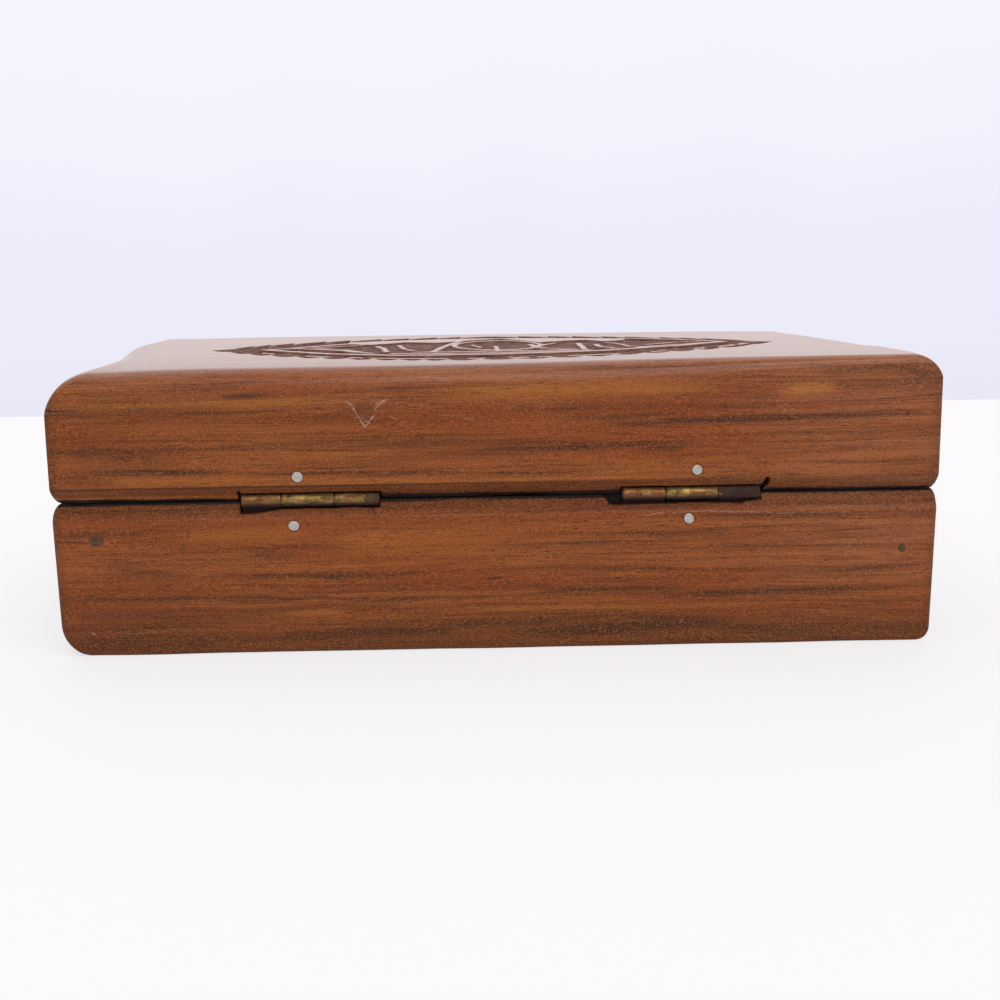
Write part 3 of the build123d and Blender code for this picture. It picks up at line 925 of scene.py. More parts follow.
def graded_lines(low, high, step, low_reach, high_reach, extra=()):
    """Places of grid lines: even in the middle, closing up towards both ends, with extra lines."""
    low_count, high_count = ramp_count(low_reach, step), ramp_count(high_reach, step)
    low_ramp = low + low_reach * (np.arange(low_count) / low_count) ** 2
    high_ramp = high - high_reach * (np.arange(high_count) / high_count) ** 2
    count = max(2, round((high - high_reach - low - low_reach) / step) + 1)
    middle = np.linspace(low + low_reach, high - high_reach, count)
    lines = np.concatenate([low_ramp, middle, high_ramp, np.array(extra, float)])
    lines = np.unique(np.round(lines, 5))
    keep = np.concatenate([[True], np.diff(lines) > same_place])
    return lines[keep]


def block_surface(xs, ys, zs, coarse=()):
    """Points and faces over the six sides of a block; a coarse side keeps only the points on its rim."""
    nx, ny, nz = len(xs), len(ys), len(zs)
    used = np.zeros((nx, ny, nz), bool)
    sides = {
        "x_low": (0, slice(None), slice(None)), "x_high": (nx - 1, slice(None), slice(None)),
        "y_low": (slice(None), 0, slice(None)), "y_high": (slice(None), ny - 1, slice(None)),
        "z_low": (slice(None), slice(None), 0), "z_high": (slice(None), slice(None), nz - 1),
    }
    for side, place in sides.items():
        if side not in coarse:
            used[place] = True
    index = np.full((nx, ny, nz), -1, np.int64)
    index[used] = np.arange(used.sum())
    i, j, k = np.nonzero(used)
    points = np.stack([xs[i], ys[j], zs[k]], axis=1)
    faces = []
    turned = {"x_low": True, "x_high": False, "y_low": False, "y_high": True, "z_low": True, "z_high": False}
    for side, place in sides.items():
        grid = index[place]
        if turned[side]:
            grid = grid[:, ::-1]
        if side not in coarse:
            quads = np.stack([grid[:-1, :-1], grid[1:, :-1], grid[1:, 1:], grid[:-1, 1:]], axis=-1)
            faces.extend(quads.reshape(-1, 4).tolist())
            continue
        rows = grid.shape[0]
        for row in range(rows - 1):
            loop = [grid[row, 0], grid[row + 1, 0]]
            loop += list(grid[row + 1, 1:-1]) if row == rows - 2 else []
            loop += [grid[row + 1, -1], grid[row, -1]]
            loop += list(grid[row, 1:-1][::-1]) if row == 0 else []
            faces.append([int(p) for p in loop])
    return points, faces


def make_object(name, points, faces, material, body, replaces):
    """Mesh object that takes a solid's place on its body, shaded smooth but for its sharp edges."""
    mesh = bpy.data.meshes.new(name)
    mesh.from_pydata((np.asarray(points) * MM).tolist(), [], faces)
    mesh.validate()
    mesh.polygons.foreach_set("use_smooth", [True] * len(mesh.polygons))
    mesh.set_sharp_from_angle(angle=math.radians(sharp_degrees))
    mesh.materials.append(material)
    piece = bpy.data.objects.new(name, mesh)
    bpy.context.scene.collection.objects.link(piece)
    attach(piece, body)
    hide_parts(*replaces)
    return piece


def body_of(is_lid):
    """Body that a piece rides on."""
    return "lid" if is_lid else "base"


def join_parts(parts):
    """One list of points and one of faces from several parts."""
    points, faces = [], []
    for more_points, more_faces in parts:
        offset = len(points)
        points += [tuple(point) for point in more_points]
        faces += [[offset + index for index in face] for face in more_faces]
    return points, faces


def turned_over(faces):
    """Faces that look the other way."""
    return [face[::-1] for face in faces]


def ring_faces(first, second, segments):
    """Faces between two rings of points, given by the number of each ring's first point."""
    nexts = [(s + 1) % segments for s in range(segments)]
    return [[first + s, first + n, second + n, second + s] for s, n in enumerate(nexts)]


def keep_on_points(piece, name, values):
    """Writes one number for each point of a piece."""
    attribute = piece.data.attributes.new(name, "FLOAT", "POINT")
    attribute.data.foreach_set("value", np.asarray(values, np.float32))


def keep_bands(piece, x, z):
    """Writes the streaks of the back face on the points of a board."""
    keep_on_points(piece, "dark_band", band_mask(x, z, dark_bands, 61))
    keep_on_points(piece, "ochre_band", band_mask(x, z, ochre_bands, 65))


# Carving of the lid, in the frame's own X and Y
medallion_half_length = 57.0
medallion_half_width = 38.4
medallion_middle = (-1.4, 2.7)
arc_radius = (medallion_half_length**2 + medallion_half_width**2) / (2 * medallion_half_width)
arc_offset = arc_radius - medallion_half_width
border_depth = 0.52
inner_depth = 0.44
ridge_dip = 0.02
chisel_depth = 0.22
near_tooth_length = 2.8
bead_inset = 3.9
bead_half_width = 0.85
far_tooth_length = 3.4
far_tooth_rise = 0.85
tip_tooth_share = 0.35
shelf_inset = 7.5
shelf_end = 0.3
ring_middle = (-2.4, -0.4)
ring_half_length = 8.8
ring_half_width = 17.5
ring_line_half_width = 0.55

near_spikes = (
    53.9, 48.4, 44.2, 38.5, 33.7, 28.6, 23.4, 18.7, 14.1, 9.9, 5.3, -1.4, -7.6, -13.9, -19.4, -24.9,
    -30.6, -36.0, -41.2, -47.2, -56.7,
)
far_spikes = (
    52.0, 48.9, 45.8, 41.6, 35.2, 30.0, 23.1, 17.0, 10.7, 5.1, -2.0, -8.3, -15.1, -20.8, -27.2, -32.4,
    -39.0, -43.2, -47.2, -54.8,
)

# Edge of the smooth shelf on the far side, from the plus end on
arch_edge = (
    (30.0, -14.0), (24.5, -8.2), (20.5, -12.0), (17.3, -16.2), (10.0, -12.5), (5.3, -17.2),
    (0.7, -22.4), (-3.9, -25.7), (-7.9, -17.8), (-11.7, -8.3), (-16.4, -13.3), (-22.1, -16.0),
    (-25.6, -8.5), (-31.0, -14.0),
)

# Raised lines: points, and half width
raised_lines = {
    "strap_near": (
        [(45.0, 4.1), (30.3, 20.1), (16.7, 27.4), (-1.9, 28.4), (-21.0, 23.6), (-38.5, 10.6), (-49.2, -1.3)],
        1.1,
    ),
    "strap_far_left": ([(45.0, 4.1), (40.4, 0.3), (33.0, -8.6), (26.1, -17.3)], 1.0),
    "strap_far_right": ([(-49.2, -1.3), (-45.6, -6.8), (-38.5, -15.8), (-31.0, -21.0)], 1.0),
    "left_v_near": ([(40.4, 0.3), (33.8, 5.3), (28.1, 11.8), (22.6, 20.6)], 0.8),
    "left_v_inner_far": ([(35.9, 0.0), (29.5, -4.8), (25.6, -9.3)], 0.6),
    "left_v_inner_near": ([(35.9, 0.0), (28.4, 8.4), (24.5, 15.8)], 0.6),
    "right_v_near": ([(-48.8, -0.1), (-38.6, 7.0), (-29.5, 14.9)], 0.8),
    "right_v_inner": ([(-44.4, -0.6), (-39.8, -1.9), (-32.1, 6.6)], 0.6),
    "near_line_outer": ([(18.0, 22.6), (11.2, 24.4), (-3.2, 25.1), (-18.9, 21.6)], 0.95),
    "near_line_inner": ([(14.1, 19.4), (6.5, 20.2), (-2.1, 20.6), (-9.8, 20.3), (-16.6, 18.7)], 0.9),
    "left_stem": ([(10.7, 19.3), (9.2, 6.8), (7.6, -3.8), (6.4, -11.3), (5.3, -17.2)], 0.65),
    "right_loop": ([(-9.1, -1.0), (-9.9, 8.7), (-11.3, 13.7), (-14.0, 16.2), (-16.8, 19.2)], 0.65),
    "right_fork": ([(-9.9, 8.7), (-12.4, 0.0), (-14.2, -4.3)], 0.5),
    "left_petal": ([(22.5, -2.2), (20.4, 8.9), (19.4, 17.1)], 0.6),
    "left_petal_inner": ([(18.1, -4.7), (17.1, 6.4), (14.6, 14.0)], 0.5),
    "right_petal": ([(-19.0, -2.1), (-19.1, 9.5), (-18.5, 19.3)], 0.6),
    "right_petal_outer": ([(-22.3, 2.8), (-22.6, 10.6), (-24.5, 17.0)], 0.5),
    "right_petal_far": ([(-25.6, -4.0), (-27.5, 4.0), (-28.5, 12.0)], 0.5),
    "ring_stem": ([(-1.8, 4.3), (-1.8, 19.6)], 0.5),
    "ring_tick": ([(2.6, -2.0), (1.4, 7.5)], 0.4),
}


def ridge(distance, half_width, softness=0.22):
    """1 on top of a raised line and 0 beside it."""
    return 1.0 - smooth_step(half_width, half_width + softness, distance)


def tooth_reach(x, spikes, length):
    """How far the teeth stand into the border: nothing at a spike and their full length between two."""
    points = sorted(spikes)
    places, heights = [points[0]], [0.0]
    for here, there in zip(points, points[1:]):
        places += [0.5 * (here + there), there]
        heights += [1.0, 0.0]
    return length * np.interp(x, places, heights) ** 2


def saw_share(x, spikes):
    """0 at each spike, growing to 1 away from the middle just before the next one."""
    points = np.array(sorted(spikes))
    place = np.clip(np.searchsorted(points, x), 1, len(points) - 1)
    share = np.clip((x - points[place - 1]) / (points[place] - points[place - 1]), 0.0, 1.0)
    return np.where(x > ring_middle[0], share, 1.0 - share)


def sunk_ground(x, from_x, from_y, inset):
    """Depth of the medallion's ground, cut back by the teeth of its border."""
    near_teeth = tooth_reach(x, near_spikes, near_tooth_length)
    saw = saw_share(x, far_spikes)
    slim = smooth_step(medallion_half_length, 0.6 * medallion_half_length, np.abs(from_x))
    slim = tip_tooth_share + (1.0 - tip_tooth_share) * slim
    teeth = np.where(from_y > 0, near_teeth, far_tooth_length * saw) * slim
    depth = border_depth * smooth_step(-0.05, 0.35, inset - teeth)
    shallow = (1.0 - smooth_step(2.5, 6.0, inset - teeth)) * smooth_step(0.0, 3.0, -from_y)
    depth = depth * (1.0 - far_tooth_rise * smooth_step(0.45, 1.0, saw) * shallow)
    return np.where(inset > shelf_inset + 4.0, np.minimum(depth, inner_depth), depth)


def shelf_share(x, y, inset):
    """1 on the smooth shelf of the far side and 0 elsewhere."""
    arch_places, arch_heights = zip(*sorted(arch_edge))
    edge = np.interp(x, arch_places, arch_heights) + 0.3 * (value_noise(x / 2, 0.0, 0.0, 4) - 0.5)
    shelf = 1.0 - smooth_step(edge - 0.25, edge + 0.05, y)
    shelf = shelf * smooth_step(shelf_inset, shelf_inset + shelf_end, inset)
    shelf = shelf * (1.0 - smooth_step(arch_places[-1] - shelf_end, arch_places[-1], x))
    return shelf * smooth_step(arch_places[0], arch_places[0] + shelf_end, x)


def medallion_relief(x, y):
    """Depth of the carving below the lid's surface."""
    from_x = x - medallion_middle[0]
    from_y = y - medallion_middle[1]
    wander = 0.5 * (value_noise(x / 6, y / 6, 0.0, 3) - 0.5)
    inset = arc_radius - np.hypot(from_x, np.abs(from_y) + arc_offset) + wander
    depth = sunk_ground(x, from_x, from_y, inset)

    bent_x = x + 0.5 * (value_noise(x / 5, y / 5, 0.0, 12) - 0.5)
    bent_y = y + 0.8 * (value_noise(x / 5, y / 5, 0.0, 13) - 0.5)
    ring_x = (bent_x - ring_middle[0]) / ring_half_length
    ring_y = (bent_y - ring_middle[1]) / ring_half_width
    ring_distance = np.abs(np.hypot(ring_x, ring_y) - 1.0) * ring_half_length
    broken = smooth_step(0.30, 0.50, value_noise(x / 1.9, 0.0, 0.0, 17)) * smooth_step(0.0, 4.0, from_y)
    bead = ridge(np.abs(inset - bead_inset), bead_half_width) * broken
    lines = [
        ridge(path_distance(bent_x, bent_y, points), half_width)
        for points, half_width in raised_lines.values()
    ]
    raised = np.maximum.reduce([
        shelf_share(x, y, inset), ridge(ring_distance, ring_line_half_width), bead, *lines,
    ])
    depth = depth * (1.0 - raised) + ridge_dip * raised * (depth > 0)
    chisel = value_noise(x / 2.6, y / 0.9, 0.0, 9) + 0.5 * value_noise(x / 0.9, y / 0.7, 0.0, 10)
    roughen = chisel_depth * (chisel - 0.75) * smooth_step(0.15, 0.40, depth)
    return np.clip(depth + roughen, 0.0, None)


# Top of the lid: heights above the table and how they fall away
top_middle_z = 50.05
far_tilt_rise = 0.25
far_tilt_length = 60.0
near_fall_least = 0.05
near_fall_more = 0.5
plus_end_fall = 0.2
far_corner_fall = 0.25

# Rounded edges of the lid
worn_end_radius = 8.5
worn_end_far_radius = 1.0
worn_corner_less = 0.9
crisp_end_radius = 3.7
crisp_corner_more = 1.3
crisp_far_more = 1.7
near_edge_radius = 1.8
near_edge_more = 1.9
far_edge_radius = 3.0
corner_wear_depth = 0.15
largest_top_drop = 8.3

# Outer edges of the base and bevels at the joint
lid_upright_radius = 0.5
base_upright_radius = 0.8
foot_radius = 0.8
worn_foot_radius = 5.5
end_taper = 0.5
lid_back_bevel = (1.95, 2.6)
base_back_bevel = (1.95, 3.0)
lid_plus_bevel = (1.5, 2.6)
lid_minus_bevel = (0.9, 2.2)
base_plus_bevel = (1.3, 2.4)
base_minus_bevel = (0.7, 1.6)
wear_depth = 0.07
chip_depth = 0.22
end_pull_reach = 9.0
glue_seam_depth = 0.12
wall_seam_depth = 0.12

# Grids of the meshes: widest gap, and how far the closer lines reach at the low and the high end
top_grid_x = (0.34, 5.0, 9.0)
top_grid_y = (0.34, 4.0, 5.0)
top_layers = 31
wall_grid_y = (1.6, 0.5, 1.5)
wall_reach_x = (3.0, 5.0)
end_grid_x = (1.8, 0.5, 1.5)
end_grid_y = (1.6, 0.6, 0.6)
lid_reach_z = (3.0, 1.0)
base_reach_z = (4.5, 3.4)
base_end_reach_z = (5.5, 3.4)
back_step_x, back_step_z = 0.7, 0.22
front_step_x, front_step_z = 1.5, 0.7
end_step_z = 0.8
leaf_grid_x = (2.0, 0.2, 0.2)
leaf_grid_z = (1.2, 0.15, 0.15)


def worn_end_radius_at(y):
    """Rounding of the lid's +X end, large from the back to the middle and small at the front."""
    share = smooth_step(-22.0, 22.0, y)
    radius = worn_end_far_radius + (worn_end_radius - worn_end_far_radius) * share
    return radius - worn_corner_less * smooth_step(34.0, 48.0, y)


def top_level(x, y):
    """Height of the uncarved top before its edges are rounded."""
    tilt = far_tilt_rise * np.clip(x / far_tilt_length, -1.2, 1.2) * (1.0 - smooth_step(-40.0, 40.0, y))
    fall = near_fall_least + near_fall_more * smooth_step(-50.0, 10.0, x)
    near = fall * np.clip((y - 12.0) / 35.0, 0.0, 1.15) ** 2
    plus_end = plus_end_fall * smooth_step(50.0, 68.0, x)
    far_corner = far_corner_fall * smooth_step(55.0, 74.0, -x) * smooth_step(20.0, 45.0, -y)
    return top_middle_z + tilt - near - plus_end - far_corner


def lid_top_drop(x, y):
    """How far the worn, uncarved top lies below the box's full height."""
    level = box_top_z - top_level(x, y)
    plus_end = round_drop(half_length - x, worn_end_radius_at(y))
    crisp = crisp_end_radius + crisp_corner_more * smooth_step(42.0, 50.0, y)
    crisp = crisp + crisp_far_more * smooth_step(28.0, 18.0, y)
    minus_end = round_drop(half_length + x, crisp)
    near_radius = near_edge_radius + near_edge_more * smooth_step(-75.0, -15.0, x)
    near_radius = near_radius + 0.3 * (value_noise(x / 25, 0.0, 0.0, 23) - 0.5)
    near = round_drop(half_depth - y, near_radius)
    far = round_drop(half_depth + y, far_edge_radius + 0.4 * (value_noise(x / 25, 0.0, 0.0, 24) - 0.5))
    corner_wear = corner_wear_depth * smooth_step(60.0, 68.0, x) * smooth_step(42.0, 50.0, y)
    rounded = np.sqrt((plus_end + minus_end) ** 2 + (near + far) ** 2)
    uneven = 0.05 * value_noise(x / 24, y / 24, 0.0, 25)
    return np.clip(level + rounded + corner_wear + uneven, 0.0, largest_top_drop)


def face_wear(along, up, seed):
    """Slight unevenness of a planed and handled face."""
    slow = value_noise(along / 23, up / 11, 0.0, seed)
    fine = value_noise(along / 5, up / 1.6, 0.0, seed + 1)
    return wear_depth * (0.75 * slow + 0.25 * fine)


def glue_seam(x, from_glue, height):
    """Open glue line under the lid's top board, seen towards both ends of the back."""
    open_share = np.maximum(smooth_step(68.0, 72.0, x), smooth_step(40.0, 66.0, -x))
    return glue_seam_depth * (1.0 - smooth_step(0.0, height, from_glue)) * open_share


def build_lid_top():
    """Lid's top board: crowned, worn round at its edges and carved with the medallion."""
    skin = 1.0
    xs = graded_lines(-half_length, half_length, *top_grid_x)
    ys = graded_lines(-half_depth, half_depth, *top_grid_y)
    zs = np.linspace(glue_z, box_top_z, top_layers)
    points, faces = block_surface(xs, ys, zs, coarse=("z_low",))
    x, y, z = points.T
    share = (z - glue_z) / (box_top_z - glue_z)
    y_limit = half_depth - round_drop(half_length - np.abs(x), lid_upright_radius)
    y_limit = y_limit - face_wear(x, z, 31) * smooth_step(half_depth - skin, half_depth, np.abs(y))
    x_limit = half_length - face_wear(y, z, 41) * smooth_step(half_length - skin, half_length, np.abs(x))
    new_x = x / half_length * x_limit
    new_y = y / half_depth * y_limit
    relief = medallion_relief(new_x, new_y)
    top = box_top_z - lid_top_drop(new_x, new_y) - relief
    new_z = glue_z + share * (top - glue_z)
    at_back = smooth_step(half_depth - 0.6, half_depth - 0.2, new_y)
    new_y = new_y - glue_seam(new_x, new_z - glue_z, 0.3) * at_back
    shaped = np.stack([new_x, new_y, new_z], axis=1)
    piece = make_object("lid_top_carved", shaped, faces, lid_top_wood, "lid", ("lid_top_board",))
    keep_on_points(piece, "cut_depth", np.where(share > 0.99, relief, 0.0))
    keep_bands(piece, new_x, new_z)


# Notches of the barrels: clearance beside the pins, height from the axis, and the ragged extras
pocket_clearance = 0.35
pocket_floor_inset = 2.51
notch_edge = 0.06
notch_row_span = (1.1, 3.2, 16)
lid_notch_rise = 1.33
lid_right_extra = 0.3
lid_right_horn = 0.5
lid_left_extra = 1.25
lid_left_horn = 1.55
base_notch_rise = 1.28
base_right_less = 0.2
base_right_rise = 0.95
base_left_extra = 2.4
base_left_rise = 0.22


def lid_notch(hinge, low, high, x, z):
    """Ends and height of a notch in the lid."""
    rise = np.full_like(x, lid_notch_rise)
    if hinge == "left_hinge":
        low = low - lid_left_extra * smooth_step(0.0, 1.6, z - axis_z)
        horn = lid_left_horn * bump_curve(x, low + 0.30, 0.62)
        return low, high, rise + horn * (0.75 + 0.5 * value_noise(x / 0.3, z / 0.4, 0.0, 18))
    high = high + lid_right_extra
    return low, high, rise + lid_right_horn * bump_curve(x, high, 0.5)


def base_notch(hinge, low, high, x, z):
    """Ends and height of a notch in the base."""
    rise = np.full_like(x, base_notch_rise)
    pin_low, pin_high = hinge_spans[hinge]
    if hinge == "left_hinge":
        high = high + base_left_extra + 0.6 * (z - axis_z + 1.0)
        rise = rise + base_left_rise * smooth_step(pin_low + 2.4, pin_low + 3.2, x)
        return low, high, rise + 0.35 * value_noise(x / 3, 0.0, 0.0, 19)
    rise = rise + base_right_rise * smooth_step(pin_high - 8.0, pin_high, x)
    return low + base_right_less, high, rise + 0.15 * value_noise(x / 2, 0.0, 0.0, 20)


def notch_inset(x, z, is_lid):
    """1 inside the barrel notches and 0 outside them; the notches are ragged at their ends."""
    total = np.zeros_like(x)
    shape = lid_notch if is_lid else base_notch
    away = z - axis_z if is_lid else axis_z - z
    for hinge, (pin_low, pin_high) in hinge_spans.items():
        low, high, rise = shape(hinge, pin_low - pocket_clearance, pin_high + pocket_clearance, x, z)
        inside = smooth_step(low - notch_edge, low + notch_edge, x)
        inside = inside * (1.0 - smooth_step(high - notch_edge, high + notch_edge, x))
        inside = inside * (1.0 - smooth_step(rise - notch_edge, rise + notch_edge, away))
        total = np.maximum(total, inside)
    return total


def notch_lines():
    """Grid lines along X that follow the notch ends."""
    beside, end_count, inner_count = 3.2, 44, 60
    lines = []
    for low, high in hinge_spans.values():
        for edge in (low, high):
            lines += list(np.linspace(edge - beside, edge + beside, end_count))
        lines += list(np.linspace(low, high, inner_count))
    return lines


def end_shape(plus_end, is_lid):
    """Bevel of an end face at the joint, and the rounding of its foot."""
    if is_lid:
        return (lid_plus_bevel if plus_end else lid_minus_bevel), 0.0
    return (base_plus_bevel, worn_foot_radius) if plus_end else (base_minus_bevel, 3.0 * foot_radius)


def end_inset_at(y, z, is_lid, plus_end, seed):
    """How far an end face lies inside the box's full length."""
    (depth, height), foot = end_shape(plus_end, is_lid)
    from_rim = z - rim_high_z if is_lid else rim_low_z - z
    inset = eased_inset(from_rim, depth, height) + face_wear(y, z, seed)
    if not is_lid:
        inset = inset + round_drop(z, foot) + end_taper * (1.0 - z / rim_low_z)
    return inset


def back_inset(x, z, is_lid, at_back, seed):
    """How far a back or front face lies inside the box's full depth."""
    from_rim = z - rim_high_z if is_lid else rim_low_z - z
    face_depth, bevel_height = lid_back_bevel if is_lid else base_back_bevel
    ragged = 1.0 - 0.25 * value_noise(x / 6, 0.0, 0.0, seed + 7)
    inset = bevel_inset(from_rim, face_depth * ragged, bevel_height)
    chipped = value_noise(x / 0.9, z / 0.5, 0.0, seed + 9) * value_noise(x / 7, 0.0, 0.0, seed + 8)
    inset = inset + chip_depth * chipped * (1.0 - smooth_step(0.4, 1.0, from_rim))
    end_radius = lid_upright_radius if is_lid else base_upright_radius
    inset = inset + round_drop(half_length - np.abs(x), end_radius) + face_wear(x, z, seed)
    if is_lid:
        inset = inset + glue_seam(x, glue_z - z, 0.25)
    else:
        worn_radius = foot_radius * (0.7 + 0.6 * value_noise(x / 12, 0.0, 0.0, seed + 4))
        inset = inset + round_drop(z, worn_radius)
    if at_back:
        inset = inset + notch_inset(x, z, is_lid) * np.maximum(pocket_floor_inset - inset, 0.0)
    return inset


def long_board(name, node, is_lid, at_back, seed):
    """Back or front board, full length, with its bevelled rim, rounded uprights and notches."""
    outward = 1.0 if at_back else -1.0
    z_low, z_high = (rim_high_z, glue_z) if is_lid else (0.0, rim_low_z)
    z_reaches = lid_reach_z if is_lid else base_reach_z
    x_step, z_step = (back_step_x, back_step_z) if at_back else (front_step_x, front_step_z)
    notch_rows = np.linspace(*notch_row_span) if at_back else []
    rows = [axis_z + row if is_lid else axis_z - row for row in notch_rows]
    zs = graded_lines(z_low, z_high, z_step, *z_reaches, rows)
    columns = notch_lines() if at_back else ()
    xs = graded_lines(-half_length, half_length, x_step, *wall_reach_x, columns)
    ys = graded_lines(inner_half_depth, half_depth, *wall_grid_y)
    points, faces = block_surface(xs, ys, zs)
    x, y, z = points.T
    thick = half_depth - inner_half_depth
    share = (y - inner_half_depth) / thick
    new_y = outward * (inner_half_depth + share * (thick - back_inset(x, z, is_lid, at_back, seed)))
    plus_inset = end_inset_at(y, z, is_lid, True, seed + 5)
    minus_inset = end_inset_at(y, z, is_lid, False, seed + 5)
    pull = np.clip(1.0 - (half_length - np.abs(x)) / end_pull_reach, 0.0, 1.0)
    new_x = x - np.sign(x) * np.where(x > 0, plus_inset, minus_inset) * pull
    shaped = np.stack([new_x, new_y, z], axis=1)
    faces = faces if at_back else turned_over(faces)
    body = body_of(is_lid)
    piece = make_object(name, shaped, faces, long_grain_wood, body, (node,))
    keep_bands(piece, new_x, z)


def end_board(name, node, is_lid, plus_end, seed):
    """Left or right board, between the back and front boards."""
    outward = 1.0 if plus_end else -1.0
    z_low, z_high = (rim_high_z, glue_z) if is_lid else (0.0, rim_low_z)
    z_reaches = lid_reach_z if is_lid else base_end_reach_z
    zs = graded_lines(z_low, z_high, end_step_z, *z_reaches)
    ys = graded_lines(-inner_half_depth, inner_half_depth, *end_grid_y)
    xs = graded_lines(inner_half_length, half_length, *end_grid_x)
    points, faces = block_surface(xs, ys, zs)
    x, y, z = points.T
    thick = half_length - inner_half_length
    share = (x - inner_half_length) / thick
    seam = wall_seam_depth * (1.0 - smooth_step(0.0, 0.35, inner_half_depth - np.abs(y)))
    inset = end_inset_at(y, z, is_lid, plus_end, seed) + seam
    new_x = outward * (inner_half_length + share * (thick - inset))
    shaped = np.stack([new_x, y, z], axis=1)
    faces = faces if plus_end else turned_over(faces)
    body = body_of(is_lid)
    make_object(name, shaped, faces, cross_grain_wood, body, (node,))


def build_boards():
    """The eight wall boards of the lid and the base."""
    for is_lid, part, first_seed in ((True, "lid", 51), (False, "base", 251)):
        long_board(part + "_back_worn", part + "_back_board", is_lid, True, first_seed)
        long_board(part + "_front_worn", part + "_front_board", is_lid, False, first_seed + 20)
        end_board(part + "_left_worn", part + "_left_board", is_lid, False, first_seed + 40)
        end_board(part + "_right_worn", part + "_right_board", is_lid, True, first_seed + 60)


# Knuckles and leaves of the hinges
barrel_radius = 1.15
bore_radius = 0.62
barrel_segments = 36
barrel_dent = 0.08
swing_radius = 1.5
knuckle_gap = 0.15
middle_knuckle_length = 8.9
middle_knuckle_shift = {"right_hinge": 0.42, "left_hinge": -0.05}
knuckle_ease = 0.14
ease_turn = 0.3
ease_drop = 0.35
inner_rings = 14
first_ring = 0.5
dent_scales = (0.9, 0.35)
leaf_y_inset = 1.2
leaf_thickness = 0.58
leaf_lines = (0.02, 0.2, leaf_thickness - 0.1, leaf_thickness)
neck_inset = 0.05
neck_start = 0.2


def circle(segments):
    """Cosines and sines of even turns round a circle."""
    turns = 2.0 * np.pi * np.arange(segments) / segments
    return np.cos(turns), np.sin(turns)


def ring_points(x, radius, cos, sin):
    """Points of a ring round the hinge axis."""
    return [(x, y, z) for y, z in zip(axis_y + radius * cos, axis_z + radius * sin)]


def knuckle(start, end, seed):
    """Closed tube along the hinge axis with a bore, eased ends and slight dents."""
    slight, full = ease_turn * knuckle_ease, knuckle_ease
    places = [start, start + slight, start + full]
    places += list(np.linspace(start + first_ring, end - first_ring, inner_rings))
    places += [end - full, end - slight, end]
    drops = [knuckle_ease, ease_drop * knuckle_ease] + [0.0] * (inner_rings + 2)
    drops += [ease_drop * knuckle_ease, knuckle_ease]
    cos, sin = circle(barrel_segments)
    around = np.arange(barrel_segments)
    points = []
    for x, drop in zip(places, drops):
        dents = barrel_dent * value_noise(x * dent_scales[0], around * dent_scales[1], 0.0, seed)
        points += ring_points(x, barrel_radius - drop - dents, cos, sin)
    points += ring_points(start, bore_radius, cos, sin)
    points += ring_points(end, bore_radius, cos, sin)
    firsts = [ring * barrel_segments for ring in range(len(places) + 2)]
    *outer, first_bore, last_bore = firsts
    faces = []
    for first, second in zip(outer, outer[1:]):
        faces += ring_faces(first, second, barrel_segments)
    faces += ring_faces(outer[-1], last_bore, barrel_segments)
    faces += turned_over(ring_faces(outer[0], first_bore, barrel_segments))
    faces += turned_over(ring_faces(first_bore, last_bore, barrel_segments))
    return points, faces


def build_leaf(hinge, is_lid, seed):
    """Leaf of a hinge: its knuckles, and the plate that stands in the kerf."""
    low, high = hinge_spans[hinge]
    middle = (low + high) / 2 + middle_knuckle_shift[hinge]
    middle_low = middle - middle_knuckle_length / 2
    middle_high = middle + middle_knuckle_length / 2
    if is_lid:
        spans = [(middle_low, middle_high)]
    else:
        spans = [(low, middle_low - knuckle_gap), (middle_high + knuckle_gap, high)]
    parts = [knuckle(start, end, seed + number) for number, (start, end) in enumerate(spans)]
    node = hinge + ("_lid_leaf" if is_lid else "_base_leaf")
    leaf_low, leaf_high = node_box(node)
    direction = 1.0 if is_lid else -1.0
    swing = axis_z + direction * swing_radius
    far = leaf_high[2] if is_lid else leaf_low[2]
    plate_y = axis_y - leaf_y_inset
    ys = plate_y + np.array(leaf_lines)
    plates = [(low, high, swing, far)]
    neck_z = axis_z + direction * neck_start
    plates += [(start + neck_inset, end - neck_inset, neck_z, swing) for start, end in spans]
    for x_low, x_high, *z_ends in plates:
        xs = graded_lines(x_low, x_high, *leaf_grid_x)
        zs = graded_lines(min(z_ends), max(z_ends), *leaf_grid_z)
        parts.append(block_surface(xs, ys, zs))
    points, faces = join_parts(parts)
    body = body_of(is_lid)
    make_object(node.replace("leaf", "leaf_aged"), points, faces, brass, body, (node,))


def round_pin(middle, half_sizes, face_y, rings, cap_depths, segments, ripple, seed):
    """Uneven round pin along Y that runs into the wood from a face, closed at both ends."""
    outward = math.copysign(1.0, face_y)
    ripple_depth, ripple_size = ripple
    cos, sin = circle(segments)
    uneven = 1.0 - ripple_depth * value_noise(ripple_size * cos, ripple_size * sin, 0.0, seed)
    points = []
    for depth, share in rings:
        xs = middle[0] + half_sizes[0] * share * uneven * cos
        zs = middle[1] + half_sizes[1] * share * uneven * sin
        points += [(x, face_y - outward * depth, z) for x, z in zip(xs, zs)]
    face_middle, tip_middle = len(points), len(points) + 1
    points += [(middle[0], face_y - outward * depth, middle[1]) for depth in cap_depths]
    faces = []
    for ring in range(len(rings) - 1):
        faces += turned_over(ring_faces(ring * segments, (ring + 1) * segments, segments))
    last = (len(rings) - 1) * segments
    for s in range(segments):
        n = (s + 1) % segments
        faces += [[face_middle, s, n], [tip_middle, last + n, last + s]]
    return points, faces if outward > 0 else turned_over(faces)


